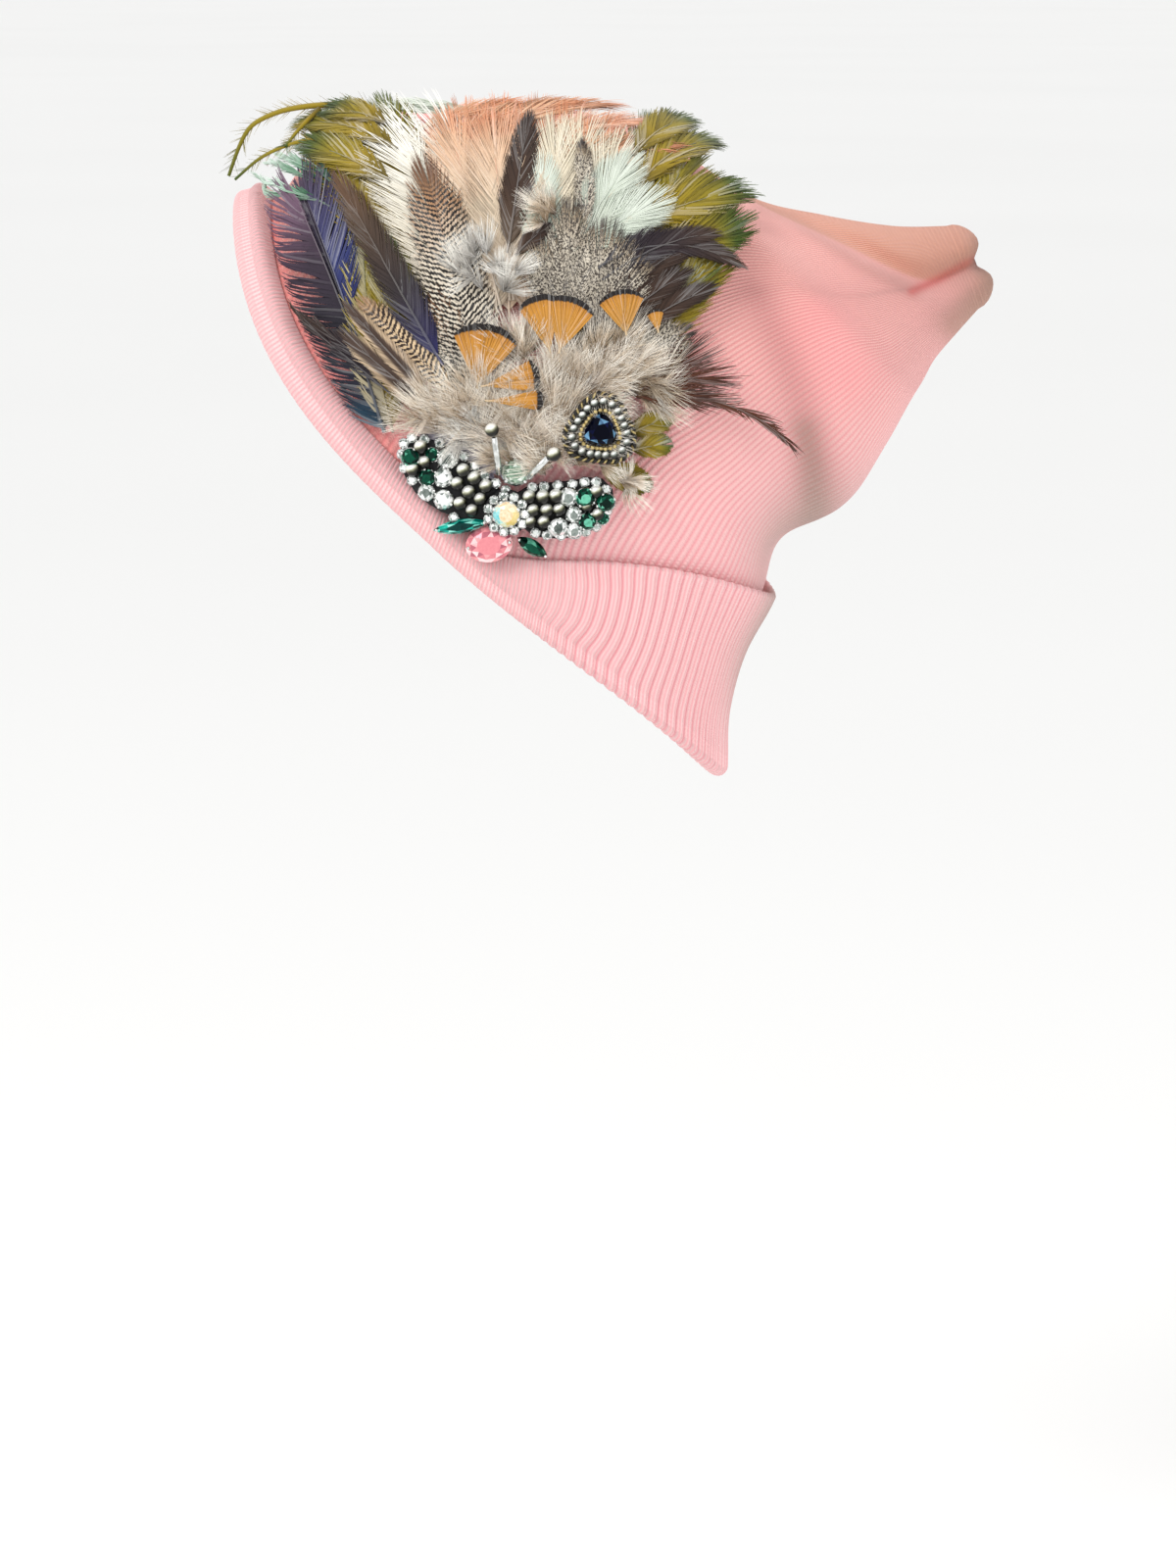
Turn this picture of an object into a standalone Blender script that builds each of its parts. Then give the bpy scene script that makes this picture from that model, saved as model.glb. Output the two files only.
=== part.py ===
"""A knitted beanie with a turned-up ribbed cuff, a gathered point and a feather cockade
held by a jewelled moth brooch and a beaded heart brooch.

Metres, +Z up as worn, the face towards -Y, the wearer's left towards +X.
The origin is the seat, where the crown's inside rests on the top of the head.
"""

import bisect
import math
from collections import namedtuple

import bmesh
import bpy
from mathutils import Vector
from mathutils.bvhtree import BVHTree

# The knitted sack
CROWN_LENGTH = 0.282
CROWN_HEIGHT = 0.246
CROWN_WIDTH = 0.166
CROWN_COLUMNS = 36
KNIT_WALL = 0.0024
BOW_LEAN = 1.17
POINT_REACH = 0.0108
SEAM_SPREAD = 0.30

# The turned-up cuff
CUFF_WALL = 0.0026
CUFF_CLEARANCE = 0.0008
CUFF_EDGE_GAP = 0.0007
CUFF_FLARE = 0.0016
CUFF_ROLL_BULGE = 0.0024
CUFF_ROLL_TAPER = 0.6
CUFF_RIBS = 64
CUFF_RIB_HEIGHT = 0.0006
CUFF_BACK_ROWS = 3.05
CUFF_ROLL_ROWS = 0.75
CUFF_NARROW_AT = 98.0
CUFF_NARROWING = 2.7

# The feathers lie in levels over the crown
FIRST_LEVEL = 0.0008
LEVEL_GAP = 0.0008
BLADE_THICKNESS = 0.0008
BLADE_STATIONS = 7
PAD_INSET = 0.00015
QUILL_HALF_WIDTH = 0.0010
TIP_LIFT = 0.009
TIP_REACH = 0.130

# The down over the quills
DOWN_RADIUS = 0.0105
DOWN_HEIGHT = 0.0040
DOWN_STAGGER = 0.0003
DOWN_LOCK_HALF_WIDTH = 0.0036

# The moth brooch
MOTH_GAP = 0.0004
MOTH_BODY_RADIUS = 0.0080
MOTH_BODY_THICKNESS = 0.0032
WING_HALF_LENGTH = 0.0185
WING_HALF_WIDTH = 0.0100
WING_THICKNESS = 0.0022
WING_TUCK = 0.0040
PEARL_DIAMETER = 0.0044
EDGE_CRYSTAL_DIAMETER = 0.0031
FLOWER_STONE_DIAMETER = 0.0078
FLOWER_CRYSTALS = 8
HEAD_STONE_DIAMETER = 0.0096
ANTENNA_LENGTH = 0.0125
ANTENNA_DIAMETER = 0.0022
ANTENNA_RISE = 0.0075
ANTENNA_REACH = 0.0132
LEAF_WIDTH = 0.0056
LEAF_THICKNESS = 0.0030
TAIL_STONE_LENGTH = 0.0115
TAIL_STONE_WIDTH = 0.0140
TAIL_STONE_THICKNESS = 0.0034
TAIL_STONE_FOOT = 0.0020
TAIL_STONE_RISE = 0.0060

# The heart brooch
HEART_SIZE = 0.0275
HEART_THICKNESS = 0.0024
HEART_SINK = 0.0004
HEART_ROPE_DIAMETER = 0.0026
ROPE_SIDES = 6
ROPE_TURNS = 2
HEART_PEARLS = 14
HEART_PEARL_DIAMETER = 0.0034
HEART_STONE_SIZE = 0.0115
HEART_STONE_THICKNESS = 0.0042

BEAD_SIDES = 10
BEAD_RINGS = 4
STONE_SIDES = 8
STONE_SINK = 0.0004

# The trim is laid out as seen from here, on a plane through the seat.
LAYOUT_EYE = Vector((2.014, 0.029, 0.068))
LAYOUT_ACROSS = Vector((0.0, 1.0, 0.0))
LAYOUT_UP = Vector((-0.1564, 0.0, 0.9877))

# Sections of the sack from the rim to the gathered point, square to its spine. The front and
# the back of each are shares of CROWN_LENGTH and CROWN_HEIGHT from the seat, bow is a share of
# CROWN_LENGTH, and half_width, hollow, seam and lap are shares of CROWN_WIDTH. The seam lies
# at seam_angle degrees from the top of the section, towards the wearer's left.
Section = namedtuple(
    "Section",
    "front_y front_z back_y back_z half_width bow hollow square seam lap seam_angle",
)
SECTIONS = [
    Section(-0.337, -0.132, 0.274, -0.976, 0.470, 0.068, 0.000, 0.85, 0.000, 0.000, 0),
    Section(-0.312, -0.108, 0.276, -0.900, 0.472, 0.067, 0.030, 0.87, 0.000, 0.000, 0),
    Section(-0.288, -0.073, 0.296, -0.808, 0.488, 0.062, 0.030, 0.90, 0.000, 0.000, 0),
    Section(-0.251, -0.040, 0.332, -0.729, 0.500, 0.055, 0.012, 0.92, 0.000, 0.000, 0),
    Section(-0.189, -0.012, 0.361, -0.665, 0.500, 0.045, 0.000, 0.92, 0.000, 0.000, 0),
    Section(-0.102, 0.004, 0.409, -0.616, 0.482, 0.034, 0.000, 0.92, 0.000, 0.000, 0),
    Section(0.000, 0.010, 0.457, -0.562, 0.452, 0.022, 0.000, 0.92, 0.000, 0.000, 0),
    Section(0.104, -0.006, 0.494, -0.498, 0.410, 0.012, 0.000, 0.92, 0.000, 0.000, 0),
    Section(0.209, -0.052, 0.524, -0.436, 0.356, 0.005, 0.000, 0.94, 0.006, 0.004, 2),
    Section(0.313, -0.126, 0.541, -0.404, 0.285, 0.000, 0.000, 0.96, 0.016, 0.012, 14),
    Section(0.409, -0.156, 0.557, -0.371, 0.215, 0.000, 0.000, 1.00, 0.026, 0.016, 46),
    Section(0.501, -0.173, 0.585, -0.333, 0.155, 0.000, 0.000, 1.00, 0.036, 0.000, 86),
    Section(0.570, -0.173, 0.613, -0.297, 0.105, 0.000, 0.000, 1.00, 0.036, 0.000, 90),
]
LAST = len(SECTIONS) - 1
CROWN_ROWS = [0.0, 0.8, 1.6, 2.4, 3.2, 4.2, 5.2, 6.2, 7.2, 8.2, 9.1, 9.8, 10.5, 11.2, 12.0]
POINT_ROWS = [12.45, 12.8]

# Slack folds of the sack, each from one place to another: degrees round from the front, rows
# up from the rim, half its width in rows, and its depth as a share of CROWN_WIDTH.
Fold = namedtuple("Fold", "from_angle from_row to_angle to_row half_width depth")
FOLDS = [
    Fold(92, 7.4, 168, 4.2, 0.85, 0.036),
    Fold(150, 6.2, 176, 5.4, 0.60, -0.012),
]
DEGREES_A_ROW = 26.0

# Feathers: where the quill starts, as shares of CROWN_LENGTH and CROWN_HEIGHT in the layout,
# the way the feather heads (0 to the back, 90 up), how far it turns along its length, and
# its length and half width in metres.
Feather = namedtuple("Feather", "across up heading turn length half_width")
OLIVE = [
    Feather(-0.132, -0.427, 104, 4, 0.106, 0.0150),
    Feather(0.092, -0.409, 72, -4, 0.100, 0.0110),
    Feather(0.115, -0.414, 52, 4, 0.078, 0.0105),
    Feather(0.096, -0.440, -48, 30, 0.036, 0.0070),
]
VIOLET = [
    Feather(-0.174, -0.470, 118, -2, 0.104, 0.0072),
    Feather(-0.160, -0.464, 103, -2, 0.090, 0.0072),
]
PALE = [
    Feather(-0.030, -0.414, 112, -4, 0.113, 0.0115),
    Feather(-0.013, -0.410, 99, -3, 0.118, 0.0115),
    Feather(0.010, -0.410, 86, 0, 0.121, 0.0115),
    Feather(0.034, -0.413, 71, 4, 0.114, 0.0120),
]
BARRED = [
    Feather(-0.051, -0.439, 104, 2, 0.080, 0.0120),
    Feather(-0.064, -0.442, 126, 10, 0.052, 0.0066),
    Feather(0.045, -0.429, 74, 2, 0.064, 0.0130),
]
HACKLES = [
    Feather(-0.066, -0.431, 116, 2, 0.086, 0.0084),
    Feather(-0.080, -0.444, 136, 3, 0.058, 0.0078),
    Feather(0.000, -0.422, 85, 1, 0.100, 0.0060),
    Feather(0.089, -0.422, 68, -54, 0.076, 0.0060),
    Feather(0.105, -0.416, 34, -86, 0.088, 0.0045),
]
AMBER = [
    Feather(-0.013, -0.436, 103, 0, 0.031, 0.0085),
    Feather(0.032, -0.425, 94, 0, 0.036, 0.0070),
    Feather(0.051, -0.425, 70, 0, 0.037, 0.0066),
    Feather(0.074, -0.419, 56, 2, 0.041, 0.0058),
]

# Where each group's quills are held, and half the size of that pad, in metres.
Pad = namedtuple("Pad", "across up half_length half_width")
OLIVE_PAD = Pad(-0.014, -0.422, 0.0410, 0.0085)
VIOLET_PAD = Pad(-0.167, -0.468, 0.0060, 0.0050)
PALE_PAD = Pad(0.005, -0.411, 0.0160, 0.0060)
BARRED_PAD = Pad(-0.010, -0.436, 0.0205, 0.0070)
HACKLE_PAD = Pad(0.014, -0.430, 0.0310, 0.0085)
AMBER_PAD = Pad(0.030, -0.428, 0.0160, 0.0060)

# The down's locks: the way each heads, and its length in metres.
DOWN_PLACE = (0.018, -0.432)
Lock = namedtuple("Lock", "heading length")
DOWN_LOCKS = [
    Lock(8, 0.014),
    Lock(48, 0.020),
    Lock(84, 0.022),
    Lock(118, 0.024),
    Lock(152, 0.030),
    Lock(184, 0.032),
    Lock(214, 0.020),
    Lock(256, 0.012),
    Lock(312, 0.012),
]

# The wings' stones: kind, place along the wing to its tip and across to its top edge, as
# shares of the wing's half sizes, and the diameter as a share of a pearl's.
Stone = namedtuple("Stone", "kind along across size")
WING_STONES = [
    Stone("pearl", -0.64, 0.30, 1.0),
    Stone("pearl", -0.34, 0.34, 1.0),
    Stone("pearl", -0.50, -0.24, 1.0),
    Stone("pearl", -0.20, -0.20, 1.0),
    Stone("pearl", 0.74, 0.04, 0.9),
    Stone("cut", 0.04, 0.30, 1.40),
    Stone("cut", 0.12, -0.40, 1.15),
    Stone("cut", 0.42, 0.40, 1.15),
    Stone("cut", 0.44, -0.20, 1.20),
]
CRYSTAL_ANGLES = [22, 47, 72, 97, 122]

# The moth's parts lie round its body: the way from the body to each, and the way it points.
MOTH_PLACE = (-0.005, -0.602)
WINGS = [("moth_front_wing", 150, -1), ("moth_back_wing", 7, 1)]
HEAD_STONE_HEADING = 82
TAIL_STONE_HEADING = 242
# A leaf's foot is this far above the sack, and its outer end stands up by its rise, over the
# cuff's edge.
Leaf = namedtuple("Leaf", "name way reach heading length foot rise")
LEAVES = [
    Leaf("moth_front_leaf", 200, 0.0168, 192, 0.0166, 0.0026, 0.0074),
    Leaf("moth_back_leaf", 307, 0.0156, 326, 0.0122, 0.0005, 0.0),
]
ANTENNAE = [("moth_front_antenna", 108, 97), ("moth_back_antenna", 59, 52)]
HEART_PLACE = (0.1180, -0.4770)


def blend(a, b, share):
    """The value that lies this share of the way from a to b."""
    return a + (b - a) * share


def smooth_step(value):
    """0 below 0, 1 above 1 and a soft rise between."""
    value = min(1.0, max(0.0, value))
    return value * value * (3 - 2 * value)


def curve_through(before, start, end, after, share):
    """A Catmull-Rom curve through start and end, at this share of the way."""
    slope_start = (end - before) / 2
    slope_end = (after - start) / 2
    square, cube = share * share, share * share * share
    return (
        (2 * cube - 3 * square + 1) * start
        + (cube - 2 * square + share) * slope_start
        + (3 * square - 2 * cube) * end
        + (cube - square) * slope_end
    )


def section_at(row):
    """The section at any row, between those of the table."""
    row = min(float(LAST), max(0.0, row))
    low = min(int(row), LAST - 1)
    around = [SECTIONS[min(LAST, max(0, low + step))] for step in (-1, 0, 1, 2)]
    return Section(*(curve_through(*values, row - low) for values in zip(*around)))


def fold_depth(angle, row):
    """How deep the slack folds are here, the same on both sides of the sack."""
    degrees = math.degrees(math.acos(math.cos(angle)))
    depth = 0.0
    for fold in FOLDS:
        run = Vector(((fold.to_angle - fold.from_angle) / DEGREES_A_ROW, fold.to_row - fold.from_row))
        place = Vector(((degrees - fold.from_angle) / DEGREES_A_ROW, row - fold.from_row))
        share = min(1.0, max(0.0, place.dot(run) / run.length_squared))
        away = (place - run * share).length / fold.half_width
        depth += fold.depth * math.exp(-away * away)
    return depth * CROWN_WIDTH


def crown_point(angle, row):
    """A point on the sack's outside. angle runs round from the front over the left side, and
    row from 0 at the rim to LAST, then to LAST + 1 over the end of the gathered point."""
    s = section_at(row)
    front = Vector((0, s.front_y * CROWN_LENGTH, s.front_z * CROWN_HEIGHT))
    back = Vector((0, s.back_y * CROWN_LENGTH, s.back_z * CROWN_HEIGHT))
    centre = (front + back) / 2
    up_way = (front - centre).normalized()
    half_depth = (front - centre).length
    side_way = Vector((1, 0, 0))
    face_way = Vector((0, -up_way.z, up_way.y))
    tip_way = -face_way

    closing = math.radians(90 * max(0.0, row - LAST))
    closed, ended = math.cos(closing), math.sin(closing)
    across, along = math.sin(angle), math.cos(angle)
    wide = math.copysign(abs(across) ** s.square, across) * closed
    deep = math.copysign(abs(along) ** s.square, along) * closed
    point = centre + side_way * (wide * s.half_width * CROWN_WIDTH) + up_way * (deep * half_depth)
    point += tip_way * (ended * POINT_REACH)
    point += face_way * (s.bow * CROWN_LENGTH * across * across * (1 + BOW_LEAN * along))

    inward = (centre - point).normalized()
    point += inward * (s.hollow * CROWN_WIDTH * max(0.0, math.cos(angle / 2) ** 2 * 2 - 0.9))
    point += inward * (fold_depth(angle, row) * closed)

    seam_angle = math.radians(s.seam_angle)
    seam_way = side_way * math.sin(seam_angle) + up_way * math.cos(seam_angle)
    sunk_way = (seam_way * closed + tip_way * ended).normalized()
    beside = closed * math.sin(angle - seam_angle) / SEAM_SPREAD
    facing = closed * math.cos(angle - seam_angle) + 1.2 * ended
    near = smooth_step((facing + 0.2) / 0.6)
    depth = s.seam * math.exp(-beside * beside) - s.lap * beside * math.exp(-beside * beside / 2)
    return point - sunk_way * (depth * CROWN_WIDTH * near)


def even_angles(columns):
    """Angles round the rim that space this many columns evenly along it."""
    steps = 360
    rim = [crown_point(2 * math.pi * i / steps, 0.0) for i in range(steps + 1)]
    lengths = [0.0]
    for before, after in zip(rim, rim[1:]):
        lengths.append(lengths[-1] + (after - before).length)
    angles = []
    for column in range(columns):
        target = lengths[-1] * column / columns
        i = min(bisect.bisect_right(lengths, target), steps) - 1
        share = (target - lengths[i]) / (lengths[i + 1] - lengths[i])
        angles.append(2 * math.pi * (i + share) / steps)
    return angles


def crown_sheet(columns, rows):
    """The sack's outside as an open sheet, closed at the point."""
    angles = even_angles(columns)
    mesh = bmesh.new()
    laid = [[mesh.verts.new(crown_point(angle, row)) for angle in angles] for row in rows]
    for low, high in zip(laid, laid[1:]):
        for i in range(columns):
            j = (i + 1) % columns
            mesh.faces.new((low[i], low[j], high[j], high[i]))
    top = mesh.verts.new(crown_point(math.pi / 2, LAST + 1))
    for i in range(columns):
        mesh.faces.new((laid[-1][i], laid[-1][(i + 1) % columns], top))
    return mesh


class CrownFace:
    """The sack's outside, as what the trim is laid on."""

    def __init__(self):
        rows = [i / 3 for i in range(LAST * 3 + 1)] + POINT_ROWS
        sheet = crown_sheet(CROWN_COLUMNS * 4, rows)
        sheet.normal_update()
        self.tree = BVHTree.FromBMesh(sheet)
        sheet.free()
        self.hub = self.seen_at(*DOWN_PLACE)[0]

    def nearest(self, point):
        """The sack's nearest point and the way out there."""
        place, normal, _, _ = self.tree.find_nearest(point)
        return place, normal

    def seen_at(self, across, up):
        """The point that the layout shows at these shares, and the way out there."""
        shown = LAYOUT_ACROSS * (across * CROWN_LENGTH) + LAYOUT_UP * (up * CROWN_HEIGHT)
        place, normal, _, _ = self.tree.ray_cast(LAYOUT_EYE, (shown - LAYOUT_EYE).normalized())
        return place, normal

    def raised(self, point, height):
        """The sack's nearest point, raised by height and by the lift of the feathers' tips."""
        place, normal = self.nearest(point)
        away = (place - self.hub).length / TIP_REACH
        return place + normal * (height + TIP_LIFT * away * away)

    def heading_at(self, point, degrees):
        """A layout heading as a direction along the sack's face here."""
        _, normal = self.nearest(point)
        angle = math.radians(degrees)
        way = LAYOUT_ACROSS * math.cos(angle) + LAYOUT_UP * math.sin(angle)
        return (way - normal * way.dot(normal)).normalized()

    def walk(self, start, degrees, turn, length, steps):
        """Points along the face from start, with the heading at each, as [(point, way, side)]."""
        point, way = start, self.heading_at(start, degrees)
        stations = []
        for _ in range(steps + 1):
            place, normal = self.nearest(point)
            way = (way - normal * way.dot(normal)).normalized()
            stations.append((place, way, normal.cross(way)))
            bend = math.radians(turn) / steps
            way = way * math.cos(bend) + normal.cross(way) * math.sin(bend)
            point = place + way * (length / steps)
        return stations


def clear_scene():
    """Removes whatever the scene starts with."""
    for thing in list(bpy.data.objects):
        bpy.data.objects.remove(thing)


def collection_named(name):
    """A new collection in the scene."""
    made = bpy.data.collections.new(name)
    bpy.context.scene.collection.children.link(made)
    return made


def material_named(name, colour, roughness, metallic=0.0):
    """A Principled material of one colour."""
    made = bpy.data.materials.new(name)
    made.use_nodes = True
    shader = made.node_tree.nodes["Principled BSDF"]
    shader.inputs["Base Color"].default_value = (*colour, 1.0)
    shader.inputs["Roughness"].default_value = roughness
    shader.inputs["Metallic"].default_value = metallic
    made.diffuse_color = (*colour, 1.0)
    return made


def object_from(mesh, name, material, collection):
    """Turns a bmesh into an object with outward faces."""
    bmesh.ops.recalc_face_normals(mesh, faces=mesh.faces)
    data = bpy.data.meshes.new(name)
    mesh.to_mesh(data)
    mesh.free()
    data.materials.append(material)
    thing = bpy.data.objects.new(name, data)
    collection.objects.link(thing)
    return thing


def fuse(body, locks):
    """Joins the closed shapes of locks, and body, into one body by a Boolean union."""
    locks.hide_render = True
    locks.display_type = "WIRE"
    union = body.modifiers.new("Union", "BOOLEAN")
    union.operation = "UNION"
    union.solver = "EXACT"
    union.use_self = True
    union.object = locks


def closed_tube(mesh, rings):
    """Adds a closed skin of triangles through rings of points, with flat ends. Its two halves
    are cut alike, so that a thin one never cuts through itself."""
    laid = [[mesh.verts.new(point) for point in ring] for ring in rings]
    count = len(rings[0])
    for low, high in zip(laid, laid[1:]):
        for i in range(count):
            j = (i + 1) % count
            if i < count / 2:
                mesh.faces.new((low[i], low[j], high[j]))
                mesh.faces.new((low[i], high[j], high[i]))
            else:
                mesh.faces.new((low[i], low[j], high[i]))
                mesh.faces.new((low[j], high[j], high[i]))
    mesh.faces.new(list(reversed(laid[0])))
    mesh.faces.new(laid[-1])


def make_crown(collection, material):
    """The sack: one knitted wall, open at the rim."""
    sheet = crown_sheet(CROWN_COLUMNS, CROWN_ROWS + POINT_ROWS)
    crown = object_from(sheet, "crown", material, collection)
    wall = crown.modifiers.new("Wall", "SOLIDIFY")
    wall.thickness = KNIT_WALL
    wall.offset = -1
    wall.use_even_offset = False
    crown.data.shade_smooth()
    return crown


def cuff_rows_at(angle):
    """How many rows the turned-up part covers here: many at the back, a narrow roll in front."""
    degrees = math.degrees(math.acos(math.cos(angle)))
    share = min(1.0, (180 - degrees) / (180 - CUFF_NARROW_AT)) ** CUFF_NARROWING
    return blend(CUFF_BACK_ROWS, CUFF_ROLL_ROWS, share)


def crown_frame(angle, row):
    """A point on the sack's outside, the way out and the way down to the rim."""
    step = 0.02
    point = crown_point(angle, row)
    round_way = crown_point(angle + step, row) - crown_point(angle - step, row)
    up_way = crown_point(angle, row + step) - crown_point(angle, max(0.0, row - step))
    out = round_way.cross(up_way).normalized()
    if out.dot(point - crown_centre(row)) < 0:
        out = -out
    return point, out, -up_way.normalized()


def crown_centre(row):
    """The middle of the section at this row."""
    s = section_at(row)
    return Vector(
        (
            0,
            (s.front_y + s.back_y) / 2 * CROWN_LENGTH,
            (s.front_z + s.back_z) / 2 * CROWN_HEIGHT,
        )
    )


def cuff_loop(angle, rib):
    """The cuff's cross-section here. The inner leg meets the sack edge to edge, then comes the
    fold, and the outer leg stands on the sack's outside up to the free edge."""
    fold_radius = (KNIT_WALL + CUFF_CLEARANCE + CUFF_WALL) / 2
    fold_middle = CUFF_CLEARANCE + CUFF_WALL - fold_radius
    rim, out, down = crown_frame(angle, 0.0)
    rows = cuff_rows_at(angle)
    roll = (CUFF_BACK_ROWS - rows) / (CUFF_BACK_ROWS - CUFF_ROLL_ROWS)
    loop = [rim - out * KNIT_WALL + down * CUFF_EDGE_GAP]
    for turn in (20, 90):
        swing = math.radians(turn)
        reach = fold_radius + rib * 0.5
        across = fold_middle - reach * math.cos(swing)
        loop.append(rim + out * across + down * (fold_radius + reach * math.sin(swing)))
    inside, outside = [], []
    for share in (0.0, 0.5, 1.0):
        point, way_out, way_down = crown_frame(angle, rows * share)
        if share == 0.0:
            point = point + way_down * fold_radius
        flare = blend(CUFF_FLARE * share * share, CUFF_ROLL_BULGE * math.sin(math.pi * share), roll)
        low = CUFF_CLEARANCE + flare
        wall = CUFF_WALL * (1 - CUFF_ROLL_TAPER * roll * share * share)
        inside.append(point + way_out * low)
        outside.append(point + way_out * (low + wall + rib))
    loop += outside + inside[::-1]
    loop.append(rim + down * CUFF_EDGE_GAP)
    return loop


def make_cuff(collection, material):
    """The rib knit folded up round the rim."""
    angles = even_angles(CUFF_RIBS * 2)
    ribs = [CUFF_RIB_HEIGHT if i % 2 else -CUFF_RIB_HEIGHT for i in range(len(angles))]
    mesh = bmesh.new()
    laid = []
    for angle, rib in zip(angles, ribs):
        laid.append([mesh.verts.new(point) for point in cuff_loop(angle, rib)])
    size = len(laid[0])
    for here, there in zip(laid, laid[1:] + laid[:1]):
        for k in range(size):
            mesh.faces.new((here[k], here[(k + 1) % size], there[(k + 1) % size], there[k]))
    cuff = object_from(mesh, "cuff", material, collection)
    cuff.data.shade_smooth()
    return cuff


def blade_width(share, half_width):
    """Half the width of a feather at this share of its length: quill, widening vane, round tip."""
    vane = smooth_step((share - 0.10) / 0.22) * (0.30 + 0.70 * share / 0.78)
    tip = math.sqrt(max(0.0, 1 - max(0.0, (share - 0.62) / 0.40) ** 2.4))
    return max(QUILL_HALF_WIDTH, half_width * vane * tip)


def add_blade(mesh, face, feather, height):
    """One feather as a closed leaf, thick at its shaft and thin at its edges."""
    start = face.seen_at(feather.across, feather.up)[0]
    walked = face.walk(start, feather.heading, feather.turn, feather.length, BLADE_STATIONS - 1)
    rings = []
    for i, (place, _, side) in enumerate(walked):
        half = blade_width(i / (BLADE_STATIONS - 1), feather.half_width)
        middle = height + BLADE_THICKNESS / 2
        rings.append(
            [
                face.raised(place + side * half, middle),
                face.raised(place, height),
                face.raised(place - side * half, middle),
                face.raised(place, height + BLADE_THICKNESS),
            ]
        )
    closed_tube(mesh, rings)


def level_height(level):
    """How far above the sack this level of feathers starts."""
    return FIRST_LEVEL + (BLADE_THICKNESS + LEVEL_GAP) * level


def add_pad(mesh, face, pad, low, high, dome=0.0, sides=14):
    """An oval pad that follows the crown from low to high, domed in its middle."""
    centre = face.seen_at(pad.across, pad.up)[0]
    right, up, _ = axes_at(face, centre)

    def ring(share, level):
        points = []
        for i in range(sides):
            angle = 2 * math.pi * i / sides
            spot = centre + right * (math.cos(angle) * pad.half_length * share)
            spot += up * (math.sin(angle) * pad.half_width * share)
            points.append(face.raised(spot, level))
        return points

    rings = [ring(0.5, low), ring(1.0, low), ring(1.0, high), ring(0.5, high + dome)]
    closed_tube(mesh, rings)


def make_feather_group(collection, material, face, name, feathers, pad, level):
    """Feathers of one level, fused to the pad that holds their quills."""
    height = level_height(level)
    blades = bmesh.new()
    for feather in feathers:
        add_blade(blades, face, feather, height)
    locks = object_from(blades, name + "_locks", material, collection["guides"])
    base = bmesh.new()
    add_pad(base, face, pad, height + PAD_INSET, height + BLADE_THICKNESS + PAD_INSET)
    group = object_from(base, name, material, collection["part"])
    fuse(group, locks)
    return group


def make_down(collection, material, face, level):
    """The tuft of down over the quills: a dome of locks."""
    height = level_height(level)
    locks = bmesh.new()
    for i, lock in enumerate(DOWN_LOCKS):
        walked = face.walk(face.hub, lock.heading, 16 if i % 2 else -16, lock.length, 3)
        rings = []
        for k, (place, _, side) in enumerate(walked):
            share = k / 3
            half = DOWN_LOCK_HALF_WIDTH * (1.2 - share)
            low = height + DOWN_STAGGER * (1 + i % 2) / 2
            top = low + BLADE_THICKNESS + DOWN_HEIGHT * 0.6 * (1 - share * share)
            rings.append(
                [
                    face.raised(place + side * half, low),
                    face.raised(place - side * half, low),
                    face.raised(place - side * half * 0.5, top),
                    face.raised(place + side * half * 0.5, top),
                ]
            )
        closed_tube(locks, rings)
    wisps = object_from(locks, "down_tuft_locks", material, collection["guides"])
    base = bmesh.new()
    pad = Pad(*DOWN_PLACE, DOWN_RADIUS, DOWN_RADIUS)
    add_pad(base, face, pad, height, height + BLADE_THICKNESS, DOWN_HEIGHT)
    tuft = object_from(base, "down_tuft", material, collection["part"])
    fuse(tuft, wisps)
    return tuft


def axes_at(face, point):
    """Right, up and out at a place on the crown, as the layout shows them."""
    _, out = face.nearest(point)
    right = (LAYOUT_ACROSS - out * LAYOUT_ACROSS.dot(out)).normalized()
    return right, out.cross(right), out


def add_shape(mesh, made, centre, right, up, out):
    """Moves a shape that was made about the origin, its axis along Z, to its place."""
    for vert in made["verts"]:
        local = vert.co.copy()
        vert.co = centre + right * local.x + up * local.y + out * local.z


def add_pearl(mesh, centre, axes, diameter):
    """A round bead."""
    made = bmesh.ops.create_uvsphere(
        mesh, u_segments=BEAD_SIDES, v_segments=BEAD_RINGS, radius=diameter / 2
    )
    add_shape(mesh, made, centre, *axes)


def add_cut_stone(mesh, foot, axes, diameter, height):
    """A cut stone with a table and a ring of facets, sunk a little into its seat."""
    made = bmesh.ops.create_cone(
        mesh,
        cap_ends=True,
        segments=STONE_SIDES,
        radius1=diameter / 2,
        radius2=diameter * 0.3,
        depth=height,
    )
    add_shape(mesh, made, foot + axes[2] * (height / 2 - STONE_SINK), *axes)


def plate_rings(face, outline, low, high):
    """A plate over the crown with this outline, from low to high, as rings of points."""
    centre = sum(outline, Vector()) / len(outline)
    inner = [centre + (point - centre) * 0.5 for point in outline]
    return [
        [face.raised(point, low) for point in inner],
        [face.raised(point, low) for point in outline],
        [face.raised(point, high) for point in outline],
        [face.raised(point, high) for point in inner],
    ]


def moth_spot(face, heading, distance):
    """A place on the sack this far from the middle of the moth's body."""
    body = face.seen_at(*MOTH_PLACE)[0]
    return face.nearest(body + face.heading_at(body, heading) * distance)[0]


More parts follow.
